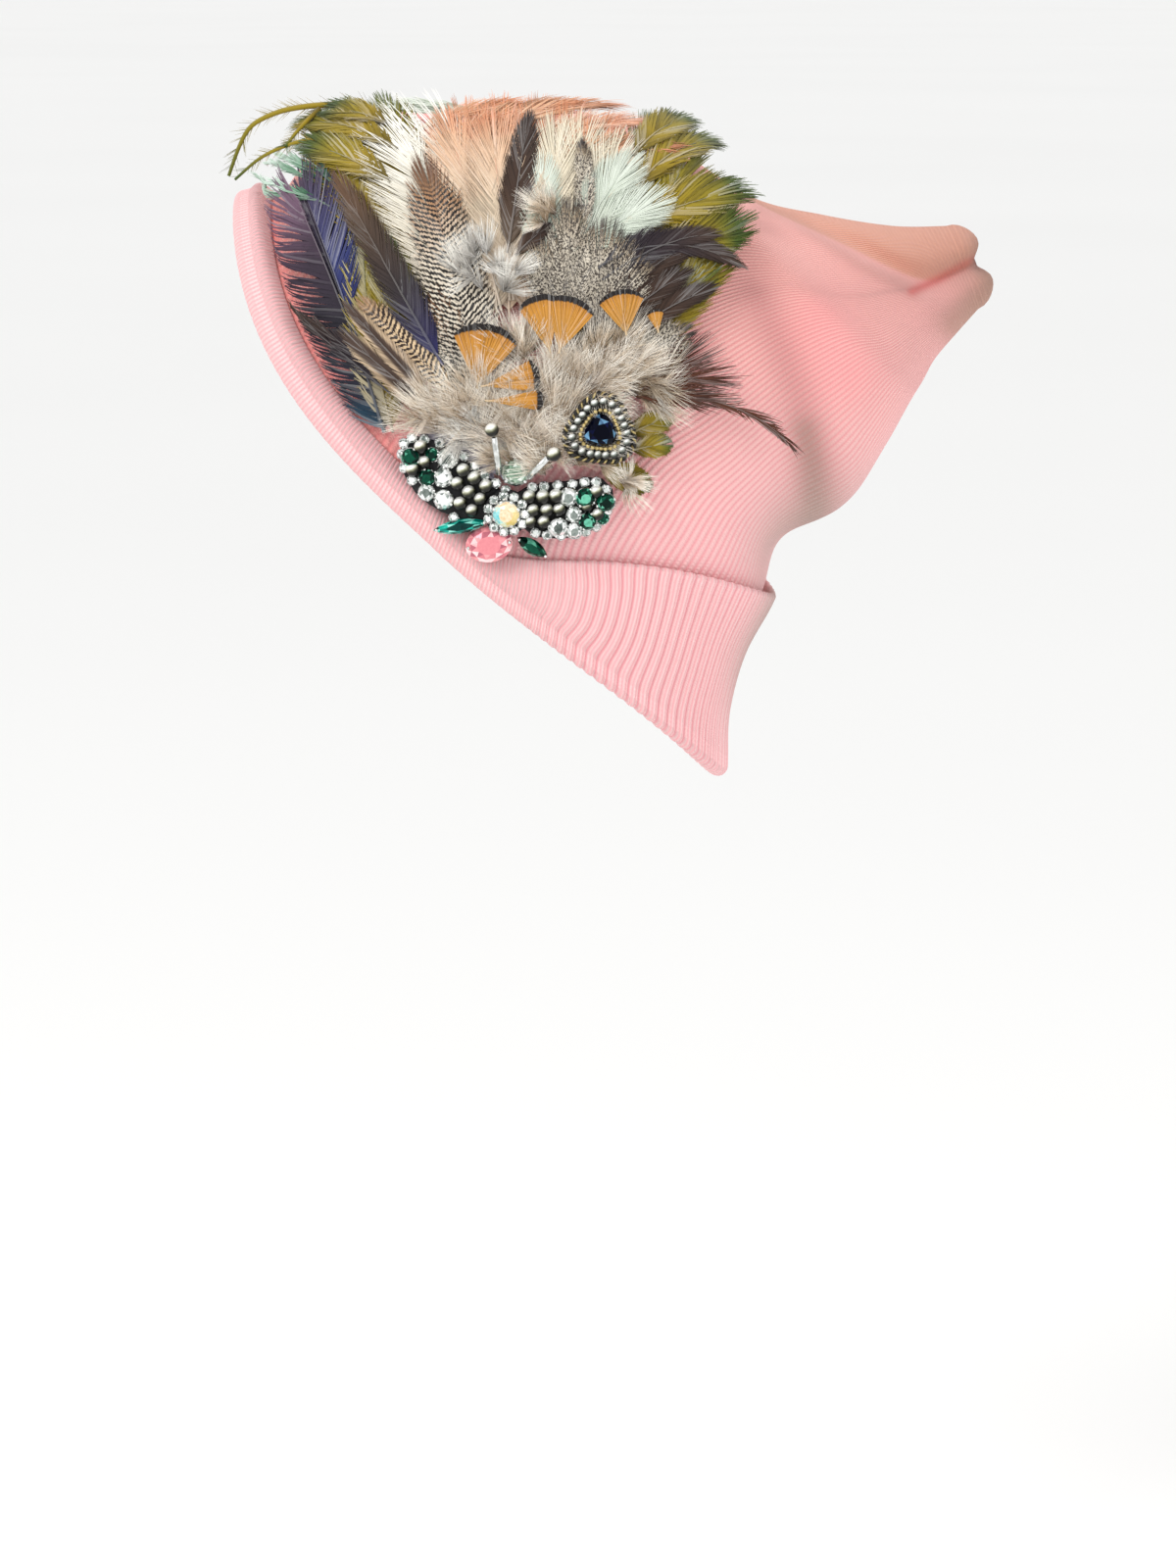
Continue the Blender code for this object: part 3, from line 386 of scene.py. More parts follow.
class Shading:
    """One material's nodes, with a Principled shader at their end."""

    def __init__(self, name: str, roughness: float, **constants: float) -> None:
        self.material = bpy.data.materials.new(name)
        self.material.use_nodes = True
        self.tree = self.material.node_tree
        self.shader = self.tree.nodes["Principled BSDF"]
        self.shader.inputs["Roughness"].default_value = roughness
        for socket, value in constants.items():
            self.shader.inputs[socket.replace("_", " ")].default_value = value

    def feed(self, socket: bpy.types.NodeSocket, value: object) -> None:
        """Links or sets an input."""
        if isinstance(value, bpy.types.NodeSocket):
            self.tree.links.new(value, socket)
        else:
            socket.default_value = value

    def sum(self, operation: str, first: object, second: object = 0.0, clamp: bool = False) -> bpy.types.NodeSocket:
        """A Math node's result."""
        node = self.tree.nodes.new("ShaderNodeMath")
        node.operation = operation
        node.use_clamp = clamp
        self.feed(node.inputs[0], first)
        self.feed(node.inputs[1], second)
        return node.outputs[0]

    def map(self, value: object, low: float, high: float, to_low: float = 0.0, to_high: float = 1.0) -> bpy.types.NodeSocket:
        """A clamped, smooth Map Range."""
        node = self.tree.nodes.new("ShaderNodeMapRange")
        node.interpolation_type = "SMOOTHSTEP"
        for socket, given in zip(("Value", "From Min", "From Max", "To Min", "To Max"), (value, low, high, to_low, to_high)):
            self.feed(node.inputs[socket], given)
        return node.outputs[0]

    def mix(self, share: object, first: object, second: object) -> bpy.types.NodeSocket:
        """A colour this share of the way from first to second."""
        node = self.tree.nodes.new("ShaderNodeMix")
        node.data_type = "RGBA"
        self.feed(node.inputs[0], share)
        self.feed(node.inputs[6], first)
        self.feed(node.inputs[7], second)
        return node.outputs[2]

    def ramp(self, value: object, stops: Sequence[tuple[float, tuple]]) -> bpy.types.NodeSocket:
        """A colour ramp with these stops."""
        node = self.tree.nodes.new("ShaderNodeValToRGB")
        elements = node.color_ramp.elements
        while len(elements) < len(stops):
            elements.new(0.5)
        for element, (place, colour) in zip(elements, stops):
            element.position = place
            element.color = colour
        self.feed(node.inputs[0], value)
        return node.outputs[0]

    def uv(self) -> tuple[bpy.types.NodeSocket, bpy.types.NodeSocket, bpy.types.NodeSocket]:
        """The piece's own UV map: u, v and both as one vector."""
        node = self.tree.nodes.new("ShaderNodeUVMap")
        node.uv_map = "UVMap"
        split = self.tree.nodes.new("ShaderNodeSeparateXYZ")
        self.tree.links.new(node.outputs[0], split.inputs[0])
        return split.outputs[0], split.outputs[1], node.outputs[0]

    def place(self) -> tuple[bpy.types.NodeSocket, bpy.types.NodeSocket]:
        """Object coordinates, as a vector and split."""
        node = self.tree.nodes.new("ShaderNodeTexCoord")
        split = self.tree.nodes.new("ShaderNodeSeparateXYZ")
        self.tree.links.new(node.outputs["Object"], split.inputs[0])
        return node.outputs["Object"], split

    def attribute(self, name: str) -> bpy.types.NodeSocket:
        """A number stored on the mesh."""
        node = self.tree.nodes.new("ShaderNodeAttribute")
        node.attribute_name = name
        return node.outputs["Fac"]

    def noise(self, vector: object, scale: float, detail: float = 2.0) -> bpy.types.NodeSocket:
        """A soft noise, 0 to 1."""
        node = self.tree.nodes.new("ShaderNodeTexNoise")
        self.feed(node.inputs["Vector"], vector)
        node.inputs["Scale"].default_value = scale
        node.inputs["Detail"].default_value = detail
        return node.outputs["Fac"]

    def near(self, point: Sequence[float], reach: float) -> bpy.types.NodeSocket:
        """1 at a point of the hat, falling to 0 at this reach."""
        vector, _ = self.place()
        node = self.tree.nodes.new("ShaderNodeVectorMath")
        node.operation = "DISTANCE"
        self.feed(node.inputs[0], vector)
        node.inputs[1].default_value = point
        return self.map(node.outputs["Value"], 0.0, reach, 1.0, 0.0)

    def colour(self, value: object) -> None:
        """Feeds the shader's colour."""
        self.feed(self.shader.inputs["Base Color"], value)

    def bump(self, height: object, depth: float, strength: float = 1.0) -> None:
        """Feeds a height to the shader's normal."""
        node = self.tree.nodes.new("ShaderNodeBump")
        node.inputs["Strength"].default_value = strength
        node.inputs["Distance"].default_value = depth
        self.feed(node.inputs["Height"], height)
        self.tree.links.new(node.outputs[0], self.shader.inputs["Normal"])


@dataclass(frozen=True)
class KnitFinish:
    """Stocking stitch on a UV map: wales run along v, courses along u. High is the colour of the ridges, low the
    painted shade in the valleys, and the stitch pits get painted shade too.
    """

    name: str
    wales: int
    courses: int
    high: tuple
    low: tuple
    depth: float = 0.0005
    ribbed: bool = False
    # Painted shade at given places: a point, its reach, its share and the shade's colour.
    painted_shades: tuple[tuple[tuple[float, float, float], float, float, tuple], ...] = ()

    def made(self) -> bpy.types.Material:
        """The material."""
        s = Shading(self.name, 0.95, Sheen_Weight=0.25, Sheen_Roughness=0.6, Specular_IOR_Level=0.15)
        u, v, _ = s.uv()
        vector, split = s.place()
        wale = s.sum("FRACT", s.sum("MULTIPLY", u, float(self.wales)))
        off = s.sum("ABSOLUTE", s.sum("SUBTRACT", s.sum("MULTIPLY", wale, 2.0), 1.0))
        lean = s.sum("MULTIPLY", off, 0.45)
        course = s.sum("FRACT", s.sum("ADD", s.sum("MULTIPLY", v, float(self.courses)), lean))
        loop = s.sum("ABSOLUTE", s.sum("SUBTRACT", s.sum("MULTIPLY", course, 2.0), 1.0))
        ridge = s.map(off, 1.0, 0.15)
        stitch = s.map(loop, 0.95, 0.25)
        height = s.sum("MULTIPLY", ridge, s.sum("ADD", s.sum("MULTIPLY", stitch, 0.45), 0.55))
        pit = s.sum("MULTIPLY", s.map(off, 0.80, 1.0), s.map(loop, 0.35, 1.0))
        fuzz = s.noise(vector, 2600.0, 2.0)
        cloud = s.noise(vector, 26.0, 3.0)
        tone = s.sum("ADD", s.sum("MULTIPLY", ridge, 0.75), s.sum("MULTIPLY", cloud, 0.25))
        # Painted shade: the valleys between wales take the darker low colour, with a soft random cloud in the tone.
        colour = s.mix(s.map(tone, 0.0, 1.0, 0.25, 1.0), self.low, self.high)
        if not self.ribbed:
            warm = s.sum("MULTIPLY", s.map(split.outputs[2], -0.170, -0.040), 0.55)
            colour = s.mix(warm, colour, s.mix(tone, srgb(226, 138, 124), srgb(248, 178, 160)))
            # Painted light: tan-peach on the upper panel beyond the seam near the point.
            colour = s.mix(s.sum("MULTIPLY", s.attribute("band"), 0.7), colour, s.mix(tone, srgb(196, 124, 98), srgb(230, 172, 138)))
            # Painted light and shade along the lines of CROWN_SHADES.
            for shade in CROWN_SHADES:
                colour = s.mix(s.sum("MULTIPLY", s.attribute(shade.name), shade.share), colour, shade.colour)
        # Painted shade in the pits between stitches.
        colour = s.mix(s.sum("MULTIPLY", pit, 0.45), colour, srgb(212, 108, 122))
        if self.ribbed:
            # Painted shade in the rib valleys of the cuff.
            colour = s.mix(s.map(s.attribute("rib"), 0.6, 0.0, 0.0, 0.55), colour, srgb(238, 150, 160))
        # Painted shade at given places.
        for point, reach, share, shade_colour in self.painted_shades:
            colour = s.mix(s.sum("MULTIPLY", s.near(point, reach), share), colour, shade_colour)
        s.colour(colour)
        s.bump(s.sum("ADD", height, s.sum("MULTIPLY", fuzz, 0.18)), self.depth, 0.85)
        return s.material


class Pattern(Enum):
    """What is drawn across a feather's vane."""

    PLAIN = "plain"
    CHEVRON = "chevron"
    SPECKLE = "speckle"
    RIMMED = "rimmed"
    STRIPED = "striped"


@dataclass(frozen=True)
class VaneFinish:
    """A feather's colours from its root to its tip, and what is drawn over them."""

    name: str
    stops: tuple
    pattern: Pattern = Pattern.PLAIN
    ink: tuple = (0.01, 0.008, 0.006, 1.0)
    bars: float = 40.0
    varied: float = 0.35
    roughness: float = 0.6
    edge: tuple | None = None

    def made(self) -> bpy.types.Material:
        """The material."""
        s = Shading(self.name, self.roughness, Sheen_Weight=0.2, Sheen_Roughness=0.5, Specular_IOR_Level=0.3)
        u, v, both = s.uv()
        vector, _ = s.place()
        shade = s.attribute("shade")
        drift = s.noise(vector, 90.0, 2.0)
        along = s.sum("ADD", u, s.sum("MULTIPLY", s.sum("SUBTRACT", drift, 0.5), 0.18))
        colour = s.ramp(along, self.stops)
        beside = s.sum("ABSOLUTE", s.sum("SUBTRACT", s.sum("MULTIPLY", v, 2.0), 1.0))
        if self.pattern is Pattern.CHEVRON:
            wave = s.sum("SUBTRACT", s.sum("MULTIPLY", u, self.bars), s.sum("MULTIPLY", beside, self.bars * 0.10))
            wave = s.sum("ADD", wave, s.sum("MULTIPLY", s.noise(vector, 240.0, 2.0), 1.1))
            bars = s.map(s.sum("ABSOLUTE", s.sum("SUBTRACT", s.sum("MULTIPLY", s.sum("FRACT", wave), 2.0), 1.0)), 0.42, 0.58)
            bars = s.sum("MULTIPLY", bars, s.map(along, 1.0, 0.84))
            colour = s.mix(bars, colour, self.ink)
        elif self.pattern is Pattern.SPECKLE:
            colour = s.mix(s.map(s.noise(vector, 1300.0, 2.0), 0.44, 0.58), colour, self.ink)
        elif self.pattern is Pattern.RIMMED:
            jag = s.sum("ADD", u, s.sum("MULTIPLY", s.sum("SUBTRACT", shade, 0.5), 0.03))
            colour = s.mix(s.map(jag, 0.875, 0.90), colour, self.ink)
        elif self.pattern is Pattern.STRIPED:
            colour = s.mix(s.sum("MULTIPLY", s.map(beside, 0.42, 0.22), s.map(u, 0.15, 0.3)), colour, self.ink)
        if self.edge is not None:
            colour = s.mix(s.map(beside, 0.35, 0.95), colour, self.edge)
        dark = s.mix(0.75, colour, (0.0, 0.0, 0.0, 1.0))
        light = s.mix(0.35, colour, (1.0, 1.0, 1.0, 1.0))
        toned = s.mix(s.map(shade, 0.45, 0.0, 0.0, self.varied), colour, dark)
        s.colour(s.mix(s.map(shade, 0.55, 1.0, 0.0, self.varied), toned, light))
        s.bump(s.noise(vector, 1500.0, 2.0), 0.0002, 0.4)
        return s.material


@dataclass(frozen=True)
class GlossFinish:
    """Pearl, enamel, glass or metal: a hard, shining finish with slight wear."""

    name: str
    colour: tuple
    worn: tuple
    roughness: float = 0.15
    metallic: float = 0.0
    coat: float = 0.0

    def made(self) -> bpy.types.Material:
        """The material."""
        s = Shading(self.name, self.roughness, Metallic=self.metallic, Coat_Weight=self.coat, Coat_Roughness=0.05)
        vector, _ = s.place()
        s.colour(s.mix(s.map(s.noise(vector, 420.0, 3.0), 0.45, 0.7), self.colour, self.worn))
        s.bump(s.noise(vector, 1800.0, 2.0), 0.00005, 0.3)
        return s.material


@dataclass(frozen=True)
class PearlFinish:
    """Glass pearl with a painted highlight and painted shade: bright where it faces LIGHT_WAY, deep away from it."""

    name: str
    stops: tuple
    metallic: float = 0.55

    def made(self) -> bpy.types.Material:
        """The material."""
        s = Shading(self.name, 0.3, Metallic=self.metallic, Coat_Weight=0.25, Coat_Roughness=0.04)
        vector, _ = s.place()
        painted_light = s.sum("ADD", s.attribute("painted_light"), s.sum("MULTIPLY", s.sum("SUBTRACT", s.noise(vector, 700.0, 1.0), 0.5), 0.16))
        s.colour(s.ramp(painted_light, self.stops))
        return s.material


@dataclass(frozen=True)
class FacetFinish:
    """Foiled cut glass with painted reflections: each facet is painted its own share of reflected light."""

    name: str
    stops: tuple
    roughness: float = 0.08
    metallic: float = 0.15
    specular: float = 0.5

    def made(self) -> bpy.types.Material:
        """The material."""
        s = Shading(self.name, self.roughness, Metallic=self.metallic, Specular_IOR_Level=self.specular)
        vector, _ = s.place()
        painted_flash = s.sum("ADD", s.attribute("painted_flash"), s.sum("MULTIPLY", s.sum("SUBTRACT", s.noise(vector, 900.0, 1.0), 0.5), 0.25))
        s.colour(s.ramp(painted_flash, self.stops))
        return s.material


class Shade(NamedTuple):
    """A soft line of painted light and shade on the crown's left, in the layout, and its half width."""

    name: str
    line: tuple[tuple[float, float], ...]
    half_width: float
    share: float
    colour: tuple

    def at(self, across: float, up: float) -> float:
        """How strong it is at a place of the layout."""
        near = 1e9
        for (a, b), (c, d) in zip(self.line, self.line[1:]):
            run_a, run_u = c - a, d - b
            share = min(1.0, max(0.0, ((across - a) * run_a + (up - b) * run_u) / (run_a**2 + run_u**2)))
            near = min(near, math.hypot(across - a - run_a * share, up - b - run_u * share))
        return math.exp(-((near / self.half_width) ** 2))


# Painted light and shade on the crown: painted shade and reflected light in the front hollow, with a red spot of
# painted reflected light; painted shade along the slack trough, at its foot and at the back edge; painted light on the
# bulge; painted shade along the point's ridge and in its crease.
CROWN_SHADES = (
    Shade("hollow", ((-92.9, -36.0), (-89.3, -54.0), (-80.6, -75.6), (-64.8, -103.7), (-43.2, -128.9)), 9.0, 0.65, srgb(255, 146, 140)),
    Shade("red_spot", ((-92.9, -39.6), (-91.4, -45.4)), 4.6, 0.95, srgb(255, 66, 60)),
    Shade("trough", ((90.0, -67.7), (99.4, -85.7), (105.8, -103.7), (110.2, -121.7), (113.0, -143.3), (113.8, -157.7)), 9.0, 0.55, srgb(186, 122, 120)),
    Shade("trough_foot", ((108.7, -118.1), (111.6, -132.5), (112.3, -146.9), (108.7, -161.3)), 6.0, 0.5, srgb(138, 120, 104)),
    Shade("bulge", ((114.5, -78.5), (123.1, -96.5)), 14.0, 0.35, srgb(255, 150, 156)),
    Shade("back_edge", ((163.8, -78.5), (175.7, -67.7), (177.1, -60.5)), 7.0, 0.5, srgb(160, 124, 96)),
    Shade("point_ridge", ((91.4, -36.7), (103.0, -39.6), (115.9, -48.2), (129.6, -57.6), (144.4, -64.4), (148.0, -66.2)), 3.0, 0.28, srgb(160, 100, 84)),
    Shade("point_crease", ((148.0, -66.6), (158.4, -61.9), (172.1, -54.4)), 1.8, 0.6, srgb(228, 72, 66)),
)


# ---- the layout on the crown ------------------------------------------------------------------


@dataclass
class Path:
    """A line along the crown's face: points, the way on, the way beside and the way out."""

    points: np.ndarray
    ways: np.ndarray
    sides: np.ndarray
    outs: np.ndarray
    length: float

    def at(self, share: np.ndarray) -> tuple[np.ndarray, np.ndarray, np.ndarray, np.ndarray]:
        """Points and ways at these shares of the line."""
        place = np.clip(share, 0, 1) * (len(self.points) - 1)
        low = np.clip(place.astype(int), 0, len(self.points) - 2)
        part = (place - low)[:, None]
        both = [blend(values[low], values[low + 1], part) for values in (self.points, self.ways, self.sides, self.outs)]
        return both[0], both[1], both[2], both[3]


class Layout:
    """The crown's outside as what the trim is laid on, and as the camera sees it."""

    eye = Vector((2.0141, 0.0288, 0.0682))
    across = Vector((0.0, 1.0, 0.0))
    up = Vector((-0.15643, 0.0, 0.98769))
    tip_lift = 0.009
    tip_reach = 0.130

    def __init__(self, sheet: bmesh.types.BMesh) -> None:
        sheet.normal_update()
        self.tree = BVHTree.FromBMesh(sheet)
        self.hub = self.seen_at(5.1, -106.3)

    def seen_at(self, across: float, up: float) -> Vector:
        """The crown's point that the layout shows this many millimetres across and up."""
        shown = self.across * (across * MM) + self.up * (up * MM)
        return self.tree.ray_cast(self.eye, (shown - self.eye).normalized())[0]

    def nearest(self, point: Vector) -> tuple[Vector, Vector]:
        """The crown's nearest point and the way out there."""
        place, normal, _, _ = self.tree.find_nearest(point)
        return place, normal

    def raised(self, point: Vector, height: float) -> Vector:
        """The crown's nearest point, raised by height and by the lift of the feathers' tips."""
        place, normal = self.nearest(point)
        away = (place - self.hub).length / self.tip_reach
        return place + normal * (height + self.tip_lift * away * away)

    def laid(self, points: np.ndarray, heights: np.ndarray) -> np.ndarray:
        """Many points raised from the crown at once, in any array shape that ends in 3."""
        flat = points.reshape(-1, 3)
        rises = np.broadcast_to(heights, points.shape[:-1]).reshape(-1)
        made = np.empty_like(flat)
        for i, (point, rise) in enumerate(zip(flat, rises)):
            made[i] = self.raised(Vector(point), float(rise))
        return made.reshape(points.shape)

    def standing(self, across: float, up: float, height: float) -> Vector:
        """The raised point that the layout shows at this place."""
        aim_across, aim_up = across, up
        for _ in range(3):
            made = self.raised(self.seen_at(aim_across, aim_up), height)
            shown_across, shown_up = self.shown(made)
            aim_across += across - shown_across
            aim_up += up - shown_up
        return made

    @classmethod
    def shown(cls, point: Vector) -> tuple[float, float]:
        """Where the layout shows a point, in millimetres across and up."""
        way, out = point - cls.eye, cls.across.cross(cls.up)
        seen = cls.eye + way * (-cls.eye.dot(out) / way.dot(out))
        return seen.dot(cls.across) / MM, seen.dot(cls.up) / MM

    def normal(self) -> Vector:
        """The way from the layout's plane to the camera."""
        return self.across.cross(self.up)

    def axes(self, point: Vector) -> tuple[Vector, Vector, Vector]:
        """Right, up and out at a place on the crown, as the layout shows them."""
        _, out = self.nearest(point)
        right = (self.across - out * self.across.dot(out)).normalized()
        return right, out.cross(right), out

    def matrix(self, point: Vector, turn: float = 0.0) -> Matrix:
        """A frame at a place: X right, Y up and Z out, turned by degrees about Z."""
        right, up, out = self.axes(point)
        frame_at = Matrix((right, up, out)).transposed().to_4x4()
        return Matrix.Translation(point) @ frame_at @ Matrix.Rotation(math.radians(turn), 4, "Z")

    def walk(self, start: Vector, degrees: float, turn: float, length: float, steps: int = 20) -> Path:
        """A line along the face from start.

        Args:
            start: A point on the crown.
            degrees: The way it heads, 0 to the back and 90 up.
            turn: How far it turns along its length, in degrees.
            length: Its length.
            steps: Its steps.

        Returns:
            The line.
        """
        _, normal = self.nearest(start)
        angle = math.radians(degrees)
        way = self.across * math.cos(angle) + self.up * math.sin(angle)
        point = start
        rows = []
        for _ in range(steps + 1):
            place, normal = self.nearest(point)
            way = (way - normal * way.dot(normal)).normalized()
            rows.append((place, way, normal.cross(way), normal))
            bend = math.radians(turn) / steps
            way = way * math.cos(bend) + normal.cross(way) * math.sin(bend)
            point = place + way * (length / steps)
        stacked = [np.array([row[k] for row in rows]) for k in range(4)]
        return Path(*stacked, length)

    def aimed(self, foot: tuple[float, float], tip: tuple[float, float], turn: float, height: float) -> Path:
        """A line along the face from where the layout shows foot to where it shows tip.

        Args:
            foot, tip: Millimetres across and up.
            turn: How far it turns on the way, in degrees.
            height: How high above the face its tip is shown.

        Returns:
            The line.
        """
        start = self.seen_at(*foot)
        run = math.hypot(tip[0] - foot[0], tip[1] - foot[1])
        want = math.degrees(math.atan2(tip[1] - foot[1], tip[0] - foot[0]))
        heading, length = want - turn / 2, run * MM
        for _ in range(6):
            path = self.walk(start, heading, turn, length)
            end = self.shown(self.raised(Vector(path.points[-1]), height))
            off = want - math.degrees(math.atan2(end[1] - foot[1], end[0] - foot[0]))
            heading += (off + 180) % 360 - 180
            got = math.hypot(end[0] - foot[0], end[1] - foot[1])
            length = min(length * min(1.2, max(0.8, run / max(got, 1.0))), run * MM * 1.5)
        return path


# ---- the knit --------------------------------------------------------------------------------


@dataclass
class KnittedCrown:
    """The sack itself: one wall of fine knit."""

    columns: int = 288
    rows: int = 170
    wall: float = 0.0024
    wales: int = 220
    courses: int = 190

    def sheet(self) -> bmesh.types.BMesh:
        """The outside as a sheet with its UV map."""
        angles, rows = SACK.even_angles(self.columns), SACK.even_rows(self.rows)

        def off_seam(column: int, row: int) -> float:
            return angles[column] - math.radians(SACK.section(rows[row]).seam_angle)

        # Painted light: marks the upper panel beyond the seam near the point, painted tan-peach for the warmer light it
        # catches.
        def band(column: int, row: int) -> float:
            return smooth_step((0.06 - math.sin(off_seam(column, row))) / 0.12) * smooth_step((rows[row] - 7.4) / 1.4)

        def shaded(shade: Shade) -> Callable[[int, int], float]:
            def mark(column: int, row: int) -> float:
                point = SACK.point(angles[column], rows[row])
                return shade.at(*Layout.shown(point)) * smooth_step(point.x / 0.006)

            return mark

        marks = {"band": band} | {shade.name: shaded(shade) for shade in CROWN_SHADES}
        return draped_grid(self.columns, self.rows, lambda c, r: SACK.point(angles[c], rows[r]), marks)

    def build(self) -> Layout:
        """Makes the crown and returns the layout that the trim is laid on."""
        # Painted shade: grey-green at the back of the crown above the cuff, and tan-brown under the point.
        painted_shades = (
            ((0.020, 0.104, -0.150), 0.048, 0.6, srgb(166, 146, 134)),
            ((0.000, 0.176, -0.066), 0.030, 0.5, srgb(184, 148, 118)),
        )
        finish = KnitFinish(
            "pink_knit_crown", self.wales, self.courses, srgb(252, 200, 200), srgb(240, 155, 162), painted_shades=painted_shades
        )
        sheet = self.sheet()
        layout = Layout(sheet)
        crown = dressed(sheet, "knitted_crown", finish.made())
        wall = crown.modifiers.new("Wall", "SOLIDIFY")
        wall.thickness = self.wall
        wall.offset = -1
        wall.use_even_offset = False
        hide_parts("crown")
        return layout


@dataclass
class RibbedCuff:
    """The rib knit folded up round the rim: a wide flap behind, a narrow roll in front."""

    ribs: int = 146
    columns_a_rib: int = 7
    rib_height: float = 0.0006
    wall: float = 0.0026
    clearance: float = 0.0008
    edge_gap: float = 0.0007
    flare: float = 0.0016
    bulge: float = 0.0024
    taper: float = 0.6
    back_rows: float = 3.05
    roll_rows: float = 0.75
    narrow_at: float = 98.0
    narrowing: float = 2.7
    fold_lag: float = -3.4
    edge_lag: float = -2.0
    leg_steps: int = 22

    def rows_at(self, angle: float) -> float:
        """How many rows the turned-up part covers here."""
        degrees = math.degrees(math.acos(math.cos(angle)))
        share = min(1.0, (180 - degrees) / (180 - self.narrow_at)) ** self.narrowing
        return blend(self.back_rows, self.roll_rows, share)

    def profile(self, angle: float) -> list[tuple[Vector, Vector, float]]:
        """The cross-section here: each point, the way its rib stands and the rib's share."""
        made: list[tuple[Vector, Vector, float]] = []
        radius = (KnittedCrown.wall + self.clearance + self.wall) / 2
        middle = self.clearance + self.wall - radius
        rim, out, down = SACK.frame_at(angle, 0.0)
        rows = self.rows_at(angle)
        roll = (self.back_rows - rows) / (self.back_rows - self.roll_rows)
        made.append((rim - out * KnittedCrown.wall + down * self.edge_gap, -out, 0.2))
        for degrees in range(0, 181, 20):
            swing = math.radians(degrees)
            way = down * math.sin(swing) - out * math.cos(swing)
            made.append((rim + out * middle + down * radius + way * radius, way, 0.35 + 0.65 * degrees / 180))
        inside = []
        for step in range(1, self.leg_steps + 1):
            share = step / self.leg_steps
            point, way_out, _ = SACK.frame_at(angle, rows * share)
            rise = blend(self.flare * share * share, self.bulge * math.sin(math.pi * share), roll)
            low = self.clearance + rise
            wall = self.wall * (1 - self.taper * roll * share * share)
            made.append((point + way_out * (low + wall), way_out, 1.0))
            inside.append((point + way_out * low, way_out, 0.0))
        tip, way_out, _ = made[-1]
        upward = (made[-1][0] - made[-2][0]).normalized()
        half = (tip - inside[-1][0]).length / 2
        for degrees in (45, 90, 135):
            swing = math.radians(degrees)
            way = way_out * math.cos(swing) + upward * math.sin(swing)
            made.append((tip - way_out * half + way * half, way, 0.7 * (1 - degrees / 180)))
        made += inside[::-3]
        made.append((rim + down * self.edge_gap, out, 0.0))
        return made

    def rib(self, column: int) -> float:
        """How far this column stands out, -1 to 1."""
        place = (column % self.columns_a_rib) / self.columns_a_rib
        return 1 - 2 * abs(2 * place - 1) ** 1.5

    def build(self) -> None:
        """Makes the cuff."""
        columns = self.ribs * self.columns_a_rib
        stations = 300
        angles = SACK.even_angles(columns)
        base = [self.profile(2 * math.pi * i / stations) for i in range(stations)]
        steps = len(base[0])
        points = np.array([[p for p, _, _ in row] for row in base])
        ways = np.array([[w for _, w, _ in row] for row in base])
        shares = [share for _, _, share in base[0]]
        leg_start, leg_end = 11, 11 + self.leg_steps

        def place(column: int, step: int) -> Vector:
            step = step % steps
            share = min(1.0, max(0.0, (step - leg_start) / (leg_end - leg_start)))
            angle = angles[column]
            narrow = smooth_step((self.rows_at(angle) - 0.9) / 1.2)
            side = math.copysign(1.0, math.sin(angle))
            lag = self.fold_lag * math.exp(-((share / 0.30) ** 2)) + self.edge_lag * math.exp(-(((1 - share) / 0.20) ** 2))
            angle += math.radians(lag) * side * narrow * min(1.0, abs(math.sin(angle)) * 3)
            spot = (angle / (2 * math.pi) * stations) % stations
            low = int(spot) % stations
            high = (low + 1) % stations
            part = spot - int(spot)
            point = points[low, step] * (1 - part) + points[high, step] * part
            way = ways[low, step] * (1 - part) + ways[high, step] * part
            rise = self.rib_height * self.rib(column) * shares[step] * blend(0.14, 1.0, narrow)
            return Vector(point + way * rise)

        # How much painted shade the rib valleys get: weaker on the narrow front roll and on the inner leg.
        def rib(column: int, step: int) -> float:
            narrow = smooth_step((self.rows_at(angles[column]) - 0.9) / 1.2)
            return blend(1.0, 0.5 + 0.5 * self.rib(column), blend(0.25, 1.0, narrow) * min(1.0, shares[step % steps] * 2))

        mesh = draped_grid(columns, steps, place, {"rib": rib})
        bmesh.ops.recalc_face_normals(mesh, faces=mesh.faces)
        # Painted shade: grey at the back of the cuff.
        painted_shades = (
            ((0.004, 0.094, -0.196), 0.050, 0.75, srgb(170, 152, 142)),
            ((0.010, 0.100, -0.172), 0.036, 0.5, srgb(160, 146, 136)),
        )
        finish = KnitFinish(
            "pink_knit_rib", self.ribs * 3, 120, srgb(254, 208, 208), srgb(242, 162, 168), 0.0004, True, painted_shades
        )
        cuff = dressed(mesh, "ribbed_cuff", finish.made())
        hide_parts("cuff")


# ---- feathers --------------------------------------------------------------------------------


class Outline(Enum):
    """How wide a vane is along its length."""

    LANCE = "lance"
    OVAL = "oval"
    SHELL = "shell"
    BROAD = "broad"
    PLUME = "plume"

    def width(self, share: np.ndarray) -> np.ndarray:
        """The half width at these shares of the length, as a share of the widest."""
        share = np.clip(share, 0, 1)
        if self is Outline.LANCE:
            return np.clip(np.sin(np.pi * (0.06 + 0.86 * share) ** 0.8) ** 0.8, 0.05, 1)
        if self is Outline.BROAD:
            return np.clip(np.sqrt(np.clip(1 - (np.maximum(share - 0.35, 0) / 0.74) ** 2, 0, 1)), 0.05, 1)
        if self is Outline.OVAL:
            return np.clip(np.sqrt(np.clip(1 - ((share - 0.55) / 0.62) ** 2, 0, 1)), 0.05, 1)
        return np.clip(0.45 + 0.6 * np.sin(np.pi * (0.1 + 0.72 * share)), 0.05, 1.1)


